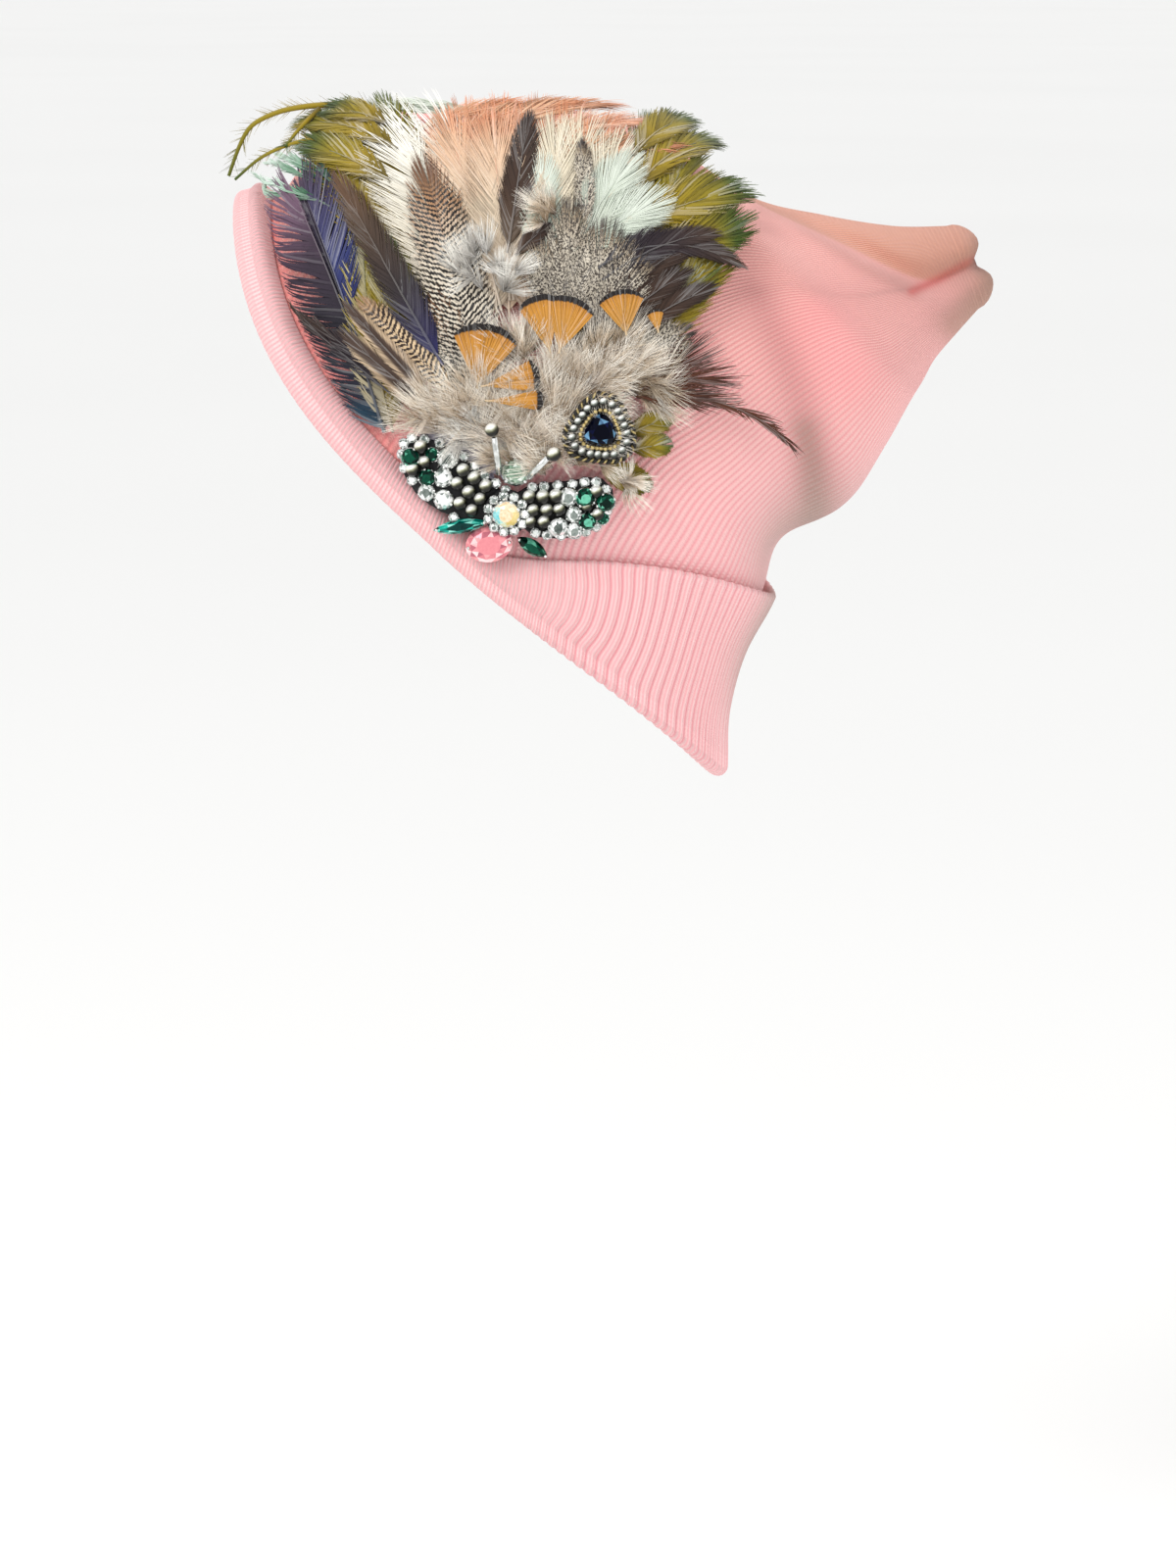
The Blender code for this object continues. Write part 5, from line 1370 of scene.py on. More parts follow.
def feather_groups() -> list[FeatherGroup]:
    """The cockade's feathers, from the lowest level to the top."""
    return [
        FeatherGroup("olive_barbs", "olive_plumes", "olive_plume", OLIVE_FINISH, OSTRICH, (
            Plume((-28.8, -74.9), (-63.4, 0.0), 8, 18),
            Plume((-32.4, -71.3), (-72.7, -4.3), 8, 14),
            Plume((-25.2, -67.7), (-47.5, 4.3), 4, 14),
            Plume((-41.8, -118.1), (-53.3, -41.0), -6, 11),
            Plume((-32.4, -103.7), (-43.9, -49.7), -6, 12),
            Plume((25.2, -100.1), (53.3, -3.6), -8, 18),
            Plume((28.8, -100.1), (69.1, -14.4), -12, 18),
            Plume((31.0, -100.8), (81.4, -30.2), -12, 18),
            Plume((32.4, -103.0), (82.1, -46.1), -10, 14),
            Plume((32.4, -103.0), (74.2, -59.0), -10, 10),
            Plume((43.2, -118.1), (58.3, -113.0), -16, 5.0),
            Plume((43.9, -123.8), (57.6, -122.4), -16, 5.0),
            Plume((33.1, -130.3), (49.7, -137.5), -10, 6.0),
        ), 0.0012, 11),
        FeatherGroup("olive_barbs_over", "", "olive_plume", OLIVE_FINISH,
                     Vane(Outline.LANCE, 130, 0.0009, (34, 12), 0.2, 0.04, 0.5, 0.3, 0.001, 0.0030, 6, longest=2.6, stray=0.1), (
            Plume((-39.6, -20.9), (-76.3, -5.0), 10, 6),
            Plume((-41.8, -31.7), (-72.7, -13.7), 10, 7),
            Plume((-43.2, -13.7), (-64.8, -0.7), 8, 6),
            Plume((43.2, -35.3), (74.9, -13.0), -20, 8),
            Plume((43.2, -46.1), (82.8, -31.7), -20, 9),
            Plume((46.8, -56.9), (82.1, -46.1), -16, 8),
            Plume((43.2, -24.5), (64.8, -5.8), -16, 8),
        ), 0.0034, 34),
        FeatherGroup("teal_barbs", "", "olive_plume", TEAL_FINISH,
                     Vane(Outline.LANCE, 50, 0.0005, (12, 4), 0.2, 0.04, 0.8, 0.4, 0.001, 0.0030, 4, longest=7.0, stray=0.05), (
            Plume((-59.0, -38.2), (-94.3, -23.8), 12, 2.2),
            Plume((-59.0, -36.0), (-91.4, -20.2), 12, 2.0),
            Plume((-59.0, -34.6), (-85.7, -16.6), 10, 2.2),
            Plume((-59.0, -33.8), (-79.9, -13.7), 8, 2.0),
            Plume((-61.2, -39.6), (-89.3, -27.4), 10, 2.2),
        ), 0.0012, 25),
        FeatherGroup("ink_barbs", "", "violet_plume", INK_FINISH,
                     Vane(Outline.PLUME, 150, 0.0013, (60, 44), 0.2, 0.02, 0.3, 0.25, 0.0006, 0.0012, 6, 0.0006, (0.62, 1.0), 1.5), (
            Plume((-45.0, -118.1), (-78.5, -24.5), 26, 12),
        ), 0.0016, 36),
        FeatherGroup("violet_barbs", "violet_plume", "violet_plume", VIOLET_FINISH, INK_VANE, (
            Plume((-45.0, -118.1), (-79.9, -27.4), 26, 19.5),
        ), 0.0030, 12),
        FeatherGroup("indigo_barbs", "", "violet_plume", INDIGO_FINISH,
                     Vane(Outline.PLUME, 110, 0.0007, (44, 34), 0.2, 0.3, 0.3, 0.2, 0.0006, 0.002, 6, 0.0004, (0.0, 1.0), 1.6), (
            Plume((-51.1, -93.6), (-77.8, -23.0), 20, 13),
        ), 0.0028, 26),
        FeatherGroup("peach_barbs", "pale_plumes", "pale_plume", PEACH_FINISH, FINE_PLUME, (
            Plume((-7.2, -78.5), (-18.0, 2.9), 2, 16),
            Plume((0.0, -78.5), (-3.6, 3.6), 0, 16),
            Plume((5.4, -78.5), (11.5, 3.6), -6, 16),
            Plume((10.8, -78.5), (25.9, 1.4), -12, 16),
            Plume((13.0, -76.3), (39.6, -4.3), -16, 15),
        ), 0.0026, 13),
        FeatherGroup("peach_sweep", "", "pale_plume", PEACH_FINISH,
                     Vane(Outline.LANCE, 120, 0.0005, (24, 10), 0.1, 0.04, 0.5, 0.35, 0.001, 0.0024, 0, longest=3.0, mottle=0.3), (
            Plume((-32.4, -14.4), (3.6, 2.2), -20, 4.5),
            Plume((-23.4, -18.0), (25.9, 2.2), -22, 5),
            Plume((-14.4, -20.2), (41.8, 0.7), -24, 5.5),
            Plume((-3.6, -23.8), (54.0, -6.5), -26, 6),
            Plume((7.2, -28.1), (61.9, -15.8), -24, 6),
        ), 0.0030, 35),
        FeatherGroup("cream_barbs", "", "pale_plume", CREAM_FINISH,
                     Vane(Outline.PLUME, 150, 0.00048, (48, 36), 0.05, 0.02, 0.12, 0.08, 0.001, 0.0022, 0, 0.0005, (1.0, 0.45), 1.8), (
            Plume((-10.1, -78.5), (-31.7, -2.2), 4, 26),
            Plume((-15.8, -74.9), (-38.9, -4.7), 4, 20),
            Plume((-7.2, -78.5), (-21.6, 0.0), 2, 20),
        ), 0.0034, 14),
        FeatherGroup("mint_sweep", "", "pale_plume", MINT_FINISH,
                     Vane(Outline.LANCE, 60, 0.0006, (14, 6), 0.1, 0.04, 0.5, 0.3, 0.001, 0.0020, 0, longest=5.0), (
            Plume((-16.6, -10.1), (-48.2, 1.4), 10, 3.0),
            Plume((-10.1, -8.6), (-40.3, 2.5), 10, 3.0),
        ), 0.0020, 38),
        FeatherGroup("tan_barbs", "", "pale_plume", TAN_FINISH, FINE_PLUME, (
            Plume((-4.3, -78.5), (-13.0, 0.0), 2, 18),
            Plume((-2.9, -74.9), (-24.5, -1.4), 2, 14),
            Plume((0.0, -71.3), (-1.4, -2.2), 0, 16),
            Plume((1.4, -71.3), (-7.2, -2.9), 0, 14),
        ), 0.0042, 15),
        FeatherGroup("ivory_barbs", "", "pale_plume", IVORY_FINISH, FINE_PLUME, (
            Plume((18.0, -67.7), (28.8, -2.2), 0, 16),
            Plume((21.6, -67.7), (43.2, -9.4), -4, 15),
            Plume((14.4, -67.7), (17.3, -3.6), 0, 14),
        ), 0.0044, 27),
        FeatherGroup("mint_barbs", "", "pale_plume", MINT_FINISH, FINE_PLUME, (
            Plume((10.1, -64.1), (13.0, -17.3), 0, 8),
            Plume((22.3, -54.0), (46.8, -16.6), -4, 10),
            Plume((23.0, -54.7), (58.3, -33.1), -14, 10),
        ), 0.0052, 16),
        FeatherGroup("barred_barbs", "barred_feathers", "barred_feather", BARRED_FINISH, BROAD_VANE, (
            Plume((-13.0, -114.5), (-26.6, -67.7), 2, 10.0),
            Plume((-5.8, -116.6), (-31.7, -19.4), 4, 15.5),
        ), 0.0054, 17),
        FeatherGroup("lilac_barbs", "", "grey_down", LILAC_FINISH, CLOSED_VANE, (
            Plume((-2.9, -136.8), (-34.6, -114.5), 8, 7.5),
            Plume((-1.4, -134.6), (-18.0, -113.8), 4, 6.0),
        ), 0.0052, 37),
        FeatherGroup("small_barred_barbs", "", "barred_feather", SMALL_BARRED_FINISH, CLOSED_VANE, (
            Plume((-18.7, -104.4), (-55.4, -69.8), 10, 7.5),
        ), 0.0060, 28),
        FeatherGroup("speckled_barbs", "", "barred_feather", SPECKLED_FINISH, SOFT_VANE, (
            Plume((14.4, -85.7), (13.0, -46.1), 0, 9),
            Plume((27.7, -46.1), (26.6, -12.2), 0, 4.5),
            Plume((20.2, -84.2), (22.7, -33.8), 0, 10.5),
            Plume((28.8, -85.7), (36.7, -43.2), -4, 13.5),
            Plume((33.1, -85.7), (47.5, -52.6), -8, 10),
            Plume((43.2, -93.6), (66.2, -81.4), -14, 7),
        ), 0.0056, 18),
        FeatherGroup("indigo_hackle", "hackle_feathers", "brown_hackle", HACKLE_FINISH, LANCE_VANE, (
            Plume((-23.0, -93.6), (-63.0, -24.5), 4, 10),
        ), 0.0070, 19),
        FeatherGroup("brown_hackles", "", "brown_hackle", BROWN_FINISH, LANCE_VANE, (
            Plume((-0.7, -55.4), (7.2, -2.2), 4, 9.0),
            Plume((2.2, -56.2), (13.7, -43.2), -10, 4.5),
            Plume((36.0, -74.2), (67.7, -49.0), -24, 9.5),
            Plume((32.4, -78.5), (54.7, -52.6), -20, 9.0),
            Plume((40.3, -85.7), (74.2, -66.2), -26, 7.0),
            Plume((36.0, -82.1), (64.8, -60.5), -20, 7.0),
        ), 0.0064, 29),
        FeatherGroup("plum_hackles", "", "brown_hackle", PLUM_FINISH, LANCE_VANE, (
            Plume((31.7, -60.5), (84.2, -57.6), -62, 8.0),
            Plume((33.1, -64.8), (75.6, -46.1), -30, 7.0),
        ), 0.0072, 30),
        FeatherGroup("striped_hackles", "", "brown_hackle", TAN_HACKLE_FINISH, LANCE_VANE, (
            Plume((-16.6, -118.1), (-60.5, -82.8), 6, 8.0),
            Plume((-26.6, -105.1), (-59.8, -72.0), 4, 5.5),
        ), 0.0072, 20),
        FeatherGroup("black_wisps", "", "brown_hackle", PLUM_FINISH, WISP_VANE, (
            Plume((-41.8, -103.7), (-81.4, -70.6), 10, 3.0),
            Plume((-43.2, -99.4), (-74.9, -75.6), 12, 3.0),
        ), 0.0050, 33),
        FeatherGroup("russet_hackles", "", "brown_hackle", RUSSET_FINISH, WISP_VANE, (
            Plume((43.2, -103.7), (105.8, -126.7), -44, 4.0),
            Plume((39.6, -102.2), (80.6, -100.8), -30, 7.0),
            Plume((40.3, -105.1), (70.6, -89.3), -10, 8.0),
            Plume((38.9, -103.7), (73.4, -108.0), -20, 7.0),
        ), 0.0072, 21),
        FeatherGroup("amber_barbs", "amber_feathers", "amber_feather", AMBER_FINISH, SHELL_VANE, (
            Plume((-10.8, -101.5), (-7.6, -78.5), 0, 11.5),
            Plume((-9.4, -100.8), (11.2, -97.2), 0, 4.8),
            Plume((-7.9, -105.8), (12.6, -107.3), -4, 3.0),
            Plume((14.4, -90.0), (10.1, -68.4), 0, 7.0),
            Plume((17.3, -90.0), (23.0, -69.1), 0, 8.5),
            Plume((41.0, -83.9), (40.0, -66.6), 0, 8.0),
            Plume((51.8, -83.2), (52.6, -73.8), 0, 2.5),
        ), 0.0096, 22),
    ]


def down_tufts() -> list[DownTuft]:
    """The down over the quills."""
    return [
        DownTuft("grey_down_tuft", "down_tuft", "grey_down", DOWN_FINISH, DOWN_VANE, (), 0.0070, 31, tufts=(
            Tuft(-23.0, -112.3, 7, 132, 30, 12, 4.5, 20),
            Tuft(-8.6, -112.3, 9, 110, 50, 13, 5, 36),
            Tuft(5.8, -116.6, 11, 70, 60, 14, 5.5, 46),
            Tuft(16.6, -125.3, 8, 84, 60, 11, 5, 26),
            Tuft(2.2, -126.0, 6, 100, 60, 9, 4.5, 16),
            Tuft(31.0, -122.4, 6, 60, 60, 9, 4.5, 14),
            Tuft(21.6, -105.1, 10, 66, 40, 14, 5.5, 46),
            Tuft(34.6, -97.9, 9, 56, 36, 14, 5.5, 40),
            Tuft(3.6, -89.3, 6, 90, 50, 10, 4.5, 14),
            Tuft(14.4, -44.6, 4, 100, 60, 8, 4, 8),
            Tuft(47.5, -103.7, 6, 20, 40, 12, 4.5, 14),
            Tuft(41.0, -133.2, 3, -20, 40, 6, 3.5, 8),
        )),
        DownTuft("white_down_tuft", "", "grey_down", WHITE_DOWN_FINISH, DOWN_VANE, (), 0.0072, 32, tufts=(
            Tuft(-10.8, -61.9, 7, 110, 50, 9, 3.5, 15),
            Tuft(-1.4, -64.8, 5, 60, 50, 8, 3.5, 9),
            Tuft(-11.5, -118.1, 5, 110, 50, 9, 4, 14),
        )),
    ]


STRAY_OLIVE = (
    Stray(3, ((-43.9, -5.8, 20), (-53.3, -0.7, 24), (-63.0, -1.1, 24), (-73.4, -1.4, 22), (-83.5, -2.9, 20), (-94.3, -7.6, 18), (-98.6, -15.8, 16), (-102.2, -25.9, 14))),
    Stray(2.4, ((-42.5, -21.6, 40), (-53.3, -17.3, 40), (-63.7, -15.8, 38), (-73.4, -15.1, 34), (-82.4, -17.3, 30), (-90.7, -20.9, 26), (-99.4, -28.1, 22))),
    Stray(2.2, ((-68.4, -2.9, 26), (-72.7, -7.2, 28), (-77.0, -12.2, 30), (-80.6, -17.3, 32))),
)


# ---- the brooches ----------------------------------------------------------------------------


class Jewels:
    """Shapes that the brooches share."""

    @staticmethod
    def pearl(mesh: bmesh.types.BMesh, at: Matrix, diameter: float, fine: int = 3) -> None:
        """A round bead, which stores on its points how far each faces the light, for its painted highlight and shade.
        """
        painted_light = mesh.verts.layers.float.get("painted_light") or mesh.verts.layers.float.new("painted_light")
        made = bmesh.ops.create_icosphere(mesh, subdivisions=fine, radius=diameter / 2, matrix=at)
        for vert in made["verts"]:
            vert[painted_light] = 0.5 + 0.5 * (vert.co - at.translation).normalized().dot(LIGHT_WAY)

    @staticmethod
    def cut_stone(
        mesh: bmesh.types.BMesh, at: Matrix, outline: Callable[[float], tuple[float, float]], height: float, sides: int = 8
    ) -> None:
        """A brilliant cut: a girdle, a crown of facets and a table, as the hull of its corners.

        Args:
            mesh: What it is added to.
            at: Its frame, Z out of the table.
            outline: Where a turn from 0 to 1 lies on the girdle.
            height: From the girdle's foot to the table.
            sides: Facets round the table.
        """
        corners = []
        levels = ((0.0, 0.92, 2, 0.0), (0.30, 1.0, 2, 0.0), (0.72, 0.80, 1, 0.5), (1.0, 0.52, 1, 0.0))
        for level, spread, twice, shift in levels:
            for i in range(sides * twice):
                x, y = outline(((i + shift) / (sides * twice)) % 1.0)
                corners.append(mesh.verts.new(at @ Vector((x * spread, y * spread, height * level))))
        made = bmesh.ops.convex_hull(mesh, input=corners)
        loose = [v for v in corners if v.is_valid and not v.link_faces]
        bmesh.ops.delete(mesh, geom=loose, context="VERTS")
        faces = [f for f in made["geom"] if isinstance(f, bmesh.types.BMFace) and f.is_valid]
        edges = list({e for f in faces for e in f.edges})
        verts = list({v for f in faces for v in f.verts})
        bmesh.ops.dissolve_limit(mesh, angle_limit=0.02, verts=verts, edges=edges)

    @staticmethod
    def round_outline(diameter: float) -> Callable[[float], tuple[float, float]]:
        """A circle."""
        return lambda turn: (diameter / 2 * math.cos(math.tau * turn), diameter / 2 * math.sin(math.tau * turn))

    @staticmethod
    def leaf_outline(length: float, width: float) -> Callable[[float], tuple[float, float]]:
        """A pointed leaf."""

        def place(turn: float) -> tuple[float, float]:
            x, y = math.cos(math.tau * turn), math.sin(math.tau * turn)
            return (length / 2 * x, width / 2 * y * blend(abs(y), 1.0, 0.25))

        return place

    @staticmethod
    def heart_outline(size: float) -> Callable[[float], tuple[float, float]]:
        """A rounded, upright drop with two low lobes."""

        def place(turn: float) -> tuple[float, float]:
            radius = size / 2 * (0.93 + 0.10 * math.cos(3 * (math.tau * turn - math.pi / 2)))
            return (radius * math.cos(math.tau * turn), radius * math.sin(math.tau * turn))

        return place

    @staticmethod
    def cup(mesh: bmesh.types.BMesh, at: Matrix, diameter: float, height: float, prongs: int = 4) -> None:
        """A silver cup with prongs that hold a stone."""
        bmesh.ops.create_cone(
            mesh, cap_ends=True, segments=12, radius1=diameter * 0.42, radius2=diameter * 0.56, depth=height,
            matrix=at @ Matrix.Translation((0, 0, height / 2)),
        )
        for i in range(prongs):
            turn = math.tau * (i + 0.5) / prongs
            spot = Vector((math.cos(turn) * diameter * 0.5, math.sin(turn) * diameter * 0.5, height * 1.15))
            bmesh.ops.create_icosphere(mesh, subdivisions=1, radius=diameter * 0.10, matrix=at @ Matrix.Translation(spot))


def faceted(
    mesh: bmesh.types.BMesh, name: str, material: bpy.types.Material, seed: int, around: Matrix | None = None
) -> bpy.types.Object:
    """A piece of cut glass: flat facets, each with its own painted flash of reflected light.

    Args:
        mesh: The shape; it is freed.
        name: The piece's name.
        material: Its finish.
        seed: For the painted flashes.
        around: A frame: the painted flash then follows the turn round its Z.

    Returns:
        The new object.
    """
    rng = np.random.default_rng(seed)
    bmesh.ops.recalc_face_normals(mesh, faces=mesh.faces)
    piece = dressed(mesh, name, material, smooth=False)
    centres = [tuple(round(c, 5) for c in face.center) for face in piece.data.polygons]
    values = np.empty(len(centres))
    values[sorted(range(len(centres)), key=centres.__getitem__)] = rng.random(len(centres))
    if around is not None:
        inverse = around.inverted()
        for i, face in enumerate(piece.data.polygons):
            spot = inverse @ face.center
            values[i] = (math.atan2(spot.y, spot.x) / math.tau + 0.08 * (values[i] - 0.5)) % 1.0
    painted_flash = piece.data.attributes.new("painted_flash", "FLOAT", "FACE")
    painted_flash.data.foreach_set("value", values.astype(np.float32))
    return piece


# The way the painted highlight on the pearls faces; the pearl ramps run from painted shade to a painted highlight.
LIGHT_WAY = Vector((0.30, -0.38, 0.88)).normalized()
PEWTER = PearlFinish(
    "pewter_pearl",
    ((0.44, srgb(14, 14, 9)), (0.56, srgb(54, 54, 38)), (0.66, srgb(134, 134, 108)), (0.74, srgb(214, 215, 194)), (0.83, srgb(255, 255, 250))),
)
SILVER = GlossFinish("silver_cups", srgb(226, 228, 226), srgb(190, 192, 188), 0.18, 1.0)
JET = GlossFinish("black_felt_base", srgb(16, 16, 18), srgb(30, 30, 32), 0.75)
GILT = GlossFinish("antique_gilt_beads", srgb(204, 184, 128), srgb(128, 108, 62), 0.28, 0.9)
BLACK_CORD = GlossFinish("black_cord", srgb(28, 26, 24), srgb(54, 48, 40), 0.5, 0.3)
GREY_PEARL = PearlFinish(
    "grey_seed_pearls", ((0.44, srgb(34, 36, 32)), (0.58, srgb(92, 96, 88)), (0.72, srgb(166, 172, 164)), (0.85, srgb(250, 252, 248))), 0.3
)
# Cut-glass ramps: each stone's own colour at the dark end, painted reflection toward white.
CLEAR = FacetFinish("clear_crystal_facets", ((0.0, srgb(64, 74, 70)), (0.28, srgb(164, 174, 168)), (0.5, srgb(240, 243, 241)), (1.0, srgb(255, 255, 255))), metallic=0.4)
MINT_CRYSTAL = FacetFinish("mint_crystal_facets", ((0.0, srgb(50, 74, 58)), (0.4, srgb(146, 176, 152)), (0.7, srgb(220, 234, 222)), (1.0, srgb(250, 252, 248))), metallic=0.4)
RAINBOW = FacetFinish(
    "rainbow_crystal_facets",
    ((0.0, srgb(240, 214, 140)), (0.16, srgb(250, 240, 214)), (0.30, srgb(244, 190, 140)), (0.42, srgb(190, 236, 232)),
     (0.55, srgb(84, 196, 206)), (0.68, srgb(214, 236, 214)), (0.82, srgb(214, 186, 96)), (1.0, srgb(246, 226, 160))),
)
EMERALD = FacetFinish("emerald_facets", ((0.0, srgb(2, 14, 12)), (0.5, srgb(4, 44, 34)), (0.8, srgb(10, 84, 62)), (1.0, srgb(110, 196, 166))), specular=0.12)
TEAL = FacetFinish("teal_facets", ((0.0, srgb(2, 40, 40)), (0.4, srgb(4, 104, 94)), (0.7, srgb(20, 190, 168)), (1.0, srgb(170, 244, 230))), specular=0.2)
ROSE = FacetFinish("rose_facets", ((0.0, srgb(176, 92, 108)), (0.35, srgb(222, 128, 138)), (0.7, srgb(242, 158, 162)), (1.0, srgb(255, 228, 228))))
SAPPHIRE = FacetFinish("sapphire_facets", ((0.0, srgb(2, 3, 12)), (0.6, srgb(3, 6, 26)), (0.85, srgb(12, 20, 62)), (1.0, srgb(110, 156, 190))), specular=0.08)


class Gem(NamedTuple):
    """A stone or bead of the moth: where it is shown, in millimetres, and its diameter."""

    across: float
    up: float
    size: float


@dataclass
class MothBrooch:
    """The moth: two padded wings set with pearls and crystals, a flower, leaves and antennae."""

    wing_low: float = 0.0046
    wing_high: float = 0.0068
    stone_seat: float = 0.0068

    FRONT_EDGE = (
        (-39.0, -121.0), (-35.0, -119.5), (-30.0, -120.5), (-25.0, -122.0), (-20.0, -125.0), (-15.5, -128.5),
        (-10.0, -133.0), (-5.0, -137.5), (-2.0, -141.0), (-4.0, -146.0), (-9.0, -152.0), (-14.0, -151.6),
        (-19.0, -149.8), (-25.0, -147.6), (-30.0, -144.6), (-34.6, -140.6), (-38.6, -134.4), (-40.2, -127.0),
    )
    BACK_EDGE = (
        (2.0, -141.0), (7.0, -138.0), (13.0, -137.0), (22.0, -136.2), (29.0, -135.0), (34.0, -135.4),
        (37.6, -139.0), (38.2, -144.0), (36.4, -149.4), (31.4, -153.4), (25.4, -156.4), (17.8, -157.2),
        (9.0, -156.4), (4.0, -152.4),
    )
    PEARLS = (
        Gem(-32.6, -123.8, 5.0), (Gem(-31.2, -129.4, 4.6)), Gem(-35.6, -132.2, 4.8), Gem(-17.0, -132.4, 5.0),
        Gem(-13.0, -135.3, 5.0), Gem(-19.2, -137.3, 4.8), Gem(-8.6, -138.3, 5.0), Gem(-15.0, -140.5, 5.0),
        Gem(-10.8, -143.0, 4.6), Gem(-18.2, -144.6, 4.8), Gem(-13.8, -147.2, 4.6),
        Gem(7.2, -142.2, 4.8), Gem(12.3, -142.2, 5.0), Gem(17.0, -141.8, 5.0), Gem(8.7, -147.1, 4.6), Gem(13.7, -147.1, 4.8),
        Gem(18.2, -146.9, 4.6), Gem(7.6, -151.4, 4.4), Gem(12.6, -151.4, 4.6), Gem(31.8, -140.2, 4.8), Gem(28.4, -145.8, 4.0),
        Gem(32.4, -148.6, 4.4),
    )
    GREENS = (Gem(-36.0, -127.4, 6.6), Gem(-30.0, -134.8, 6.0), Gem(-28.0, -126.4, 5.0),
              Gem(27.6, -141.8, 7.0), Gem(35.0, -143.6, 6.6), Gem(28.4, -150.6, 6.2), Gem(34.0, -149.6, 4.6))
    CLEARS = (Gem(-22.4, -127.6, 7.0), Gem(-24.0, -134.6, 6.6), Gem(-24.0, -142.8, 6.6), Gem(-30.4, -140.4, 5.6),
              Gem(21.4, -141.6, 6.6), Gem(23.4, -148.2, 5.6), Gem(17.6, -152.8, 6.6), Gem(23.6, -154.2, 5.6))
    EDGE = tuple(Gem(a, u, 3.5) for a, u in (
        (-38.6, -122.4), (-35.6, -120.4), (-31.0, -120.8), (-25.4, -122.2), (-21.0, -124.4), (-16.6, -127.0), (-12.6, -130.6),
        (-9.2, -134.2), (-5.0, -137.0), (-1.4, -139.6), (-39.2, -126.2), (-38.6, -131.4), (-35.8, -136.0), (-20.4, -149.6),
        (8.4, -138.4), (12.6, -138.0), (17.6, -137.6), (23.0, -137.2), (27.4, -136.4), (31.6, -136.4), (35.2, -139.2),
        (9.4, -155.0), (13.6, -155.8), (18.8, -156.0), (27.8, -154.6), (31.6, -152.8), (35.6, -147.0),
    ))
    FLOWER = (-1.1, -147.8)
    HEAD = Gem(2.4, -132.4, 9.4)

    def plate(self, layout: Layout, edge: Sequence[tuple[float, float]], name: str, node: str) -> None:
        """A wing's padded base: its outline, filled, thickened and rounded at its edge."""
        mesh = bmesh.new()
        low = [mesh.verts.new(layout.standing(a, u, self.wing_low)) for a, u in edge]
        base = mesh.faces.new(low)
        made = bmesh.ops.extrude_face_region(mesh, geom=[base])
        top = [v for v in made["geom"] if isinstance(v, bmesh.types.BMVert)]
        for vert in top:
            place, out = layout.nearest(vert.co)
            vert.co = vert.co + out * (self.wing_high - self.wing_low)
        bmesh.ops.recalc_face_normals(mesh, faces=mesh.faces)
        rim = [e for e in mesh.edges if all(v in top for v in e.verts)]
        bmesh.ops.bevel(mesh, geom=rim, offset=0.0007, segments=3, profile=0.5, affect="EDGES", material=-1)
        bmesh.ops.triangulate(mesh, faces=[f for f in mesh.faces if len(f.verts) > 4])
        wing = dressed(mesh, name, JET.made(), smooth=False)
        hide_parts(node)

    def gems(
        self, layout: Layout, name: str, finish: FacetFinish, gems: Sequence[Gem], seed: int, silver: bmesh.types.BMesh
    ) -> None:
        """Cut stones in cups."""
        mesh = bmesh.new()
        for gem in gems:
            at = layout.matrix(layout.standing(gem.across, gem.up, self.stone_seat), gem.across * 7)
            size = gem.size * MM
            Jewels.cup(silver, at, size, size * 0.34)
            seat = at @ Matrix.Translation((0, 0, size * 0.26))
            Jewels.cut_stone(mesh, seat, Jewels.round_outline(size), size * 0.36)
        faceted(mesh, name, finish.made(), seed)

    def build(self, layout: Layout) -> None:
        """Makes the brooch."""
        self.plate(layout, self.FRONT_EDGE, "front_wing_base", "moth_front_wing")
        self.plate(layout, self.BACK_EDGE, "back_wing_base", "moth_back_wing")
        silver, pearls = bmesh.new(), bmesh.new()
        for gem in self.PEARLS:
            size = gem.size * MM
            Jewels.pearl(pearls, layout.matrix(layout.standing(gem.across, gem.up, self.stone_seat + size * 0.44)), size)
        self.gems(layout, "moth_green_stones", EMERALD, self.GREENS, 41, silver)
        self.gems(layout, "moth_clear_stones", CLEAR, self.CLEARS, 42, silver)
        self.gems(layout, "moth_edge_crystals", CLEAR, self.EDGE, 43, silver)
        self.flower(layout, silver)
        self.head_and_tail(layout, silver)
        self.antennae(layout, silver)
        dressed(pearls, "moth_pearls", PEWTER.made())
        dressed(silver, "moth_silver_cups", SILVER.made())

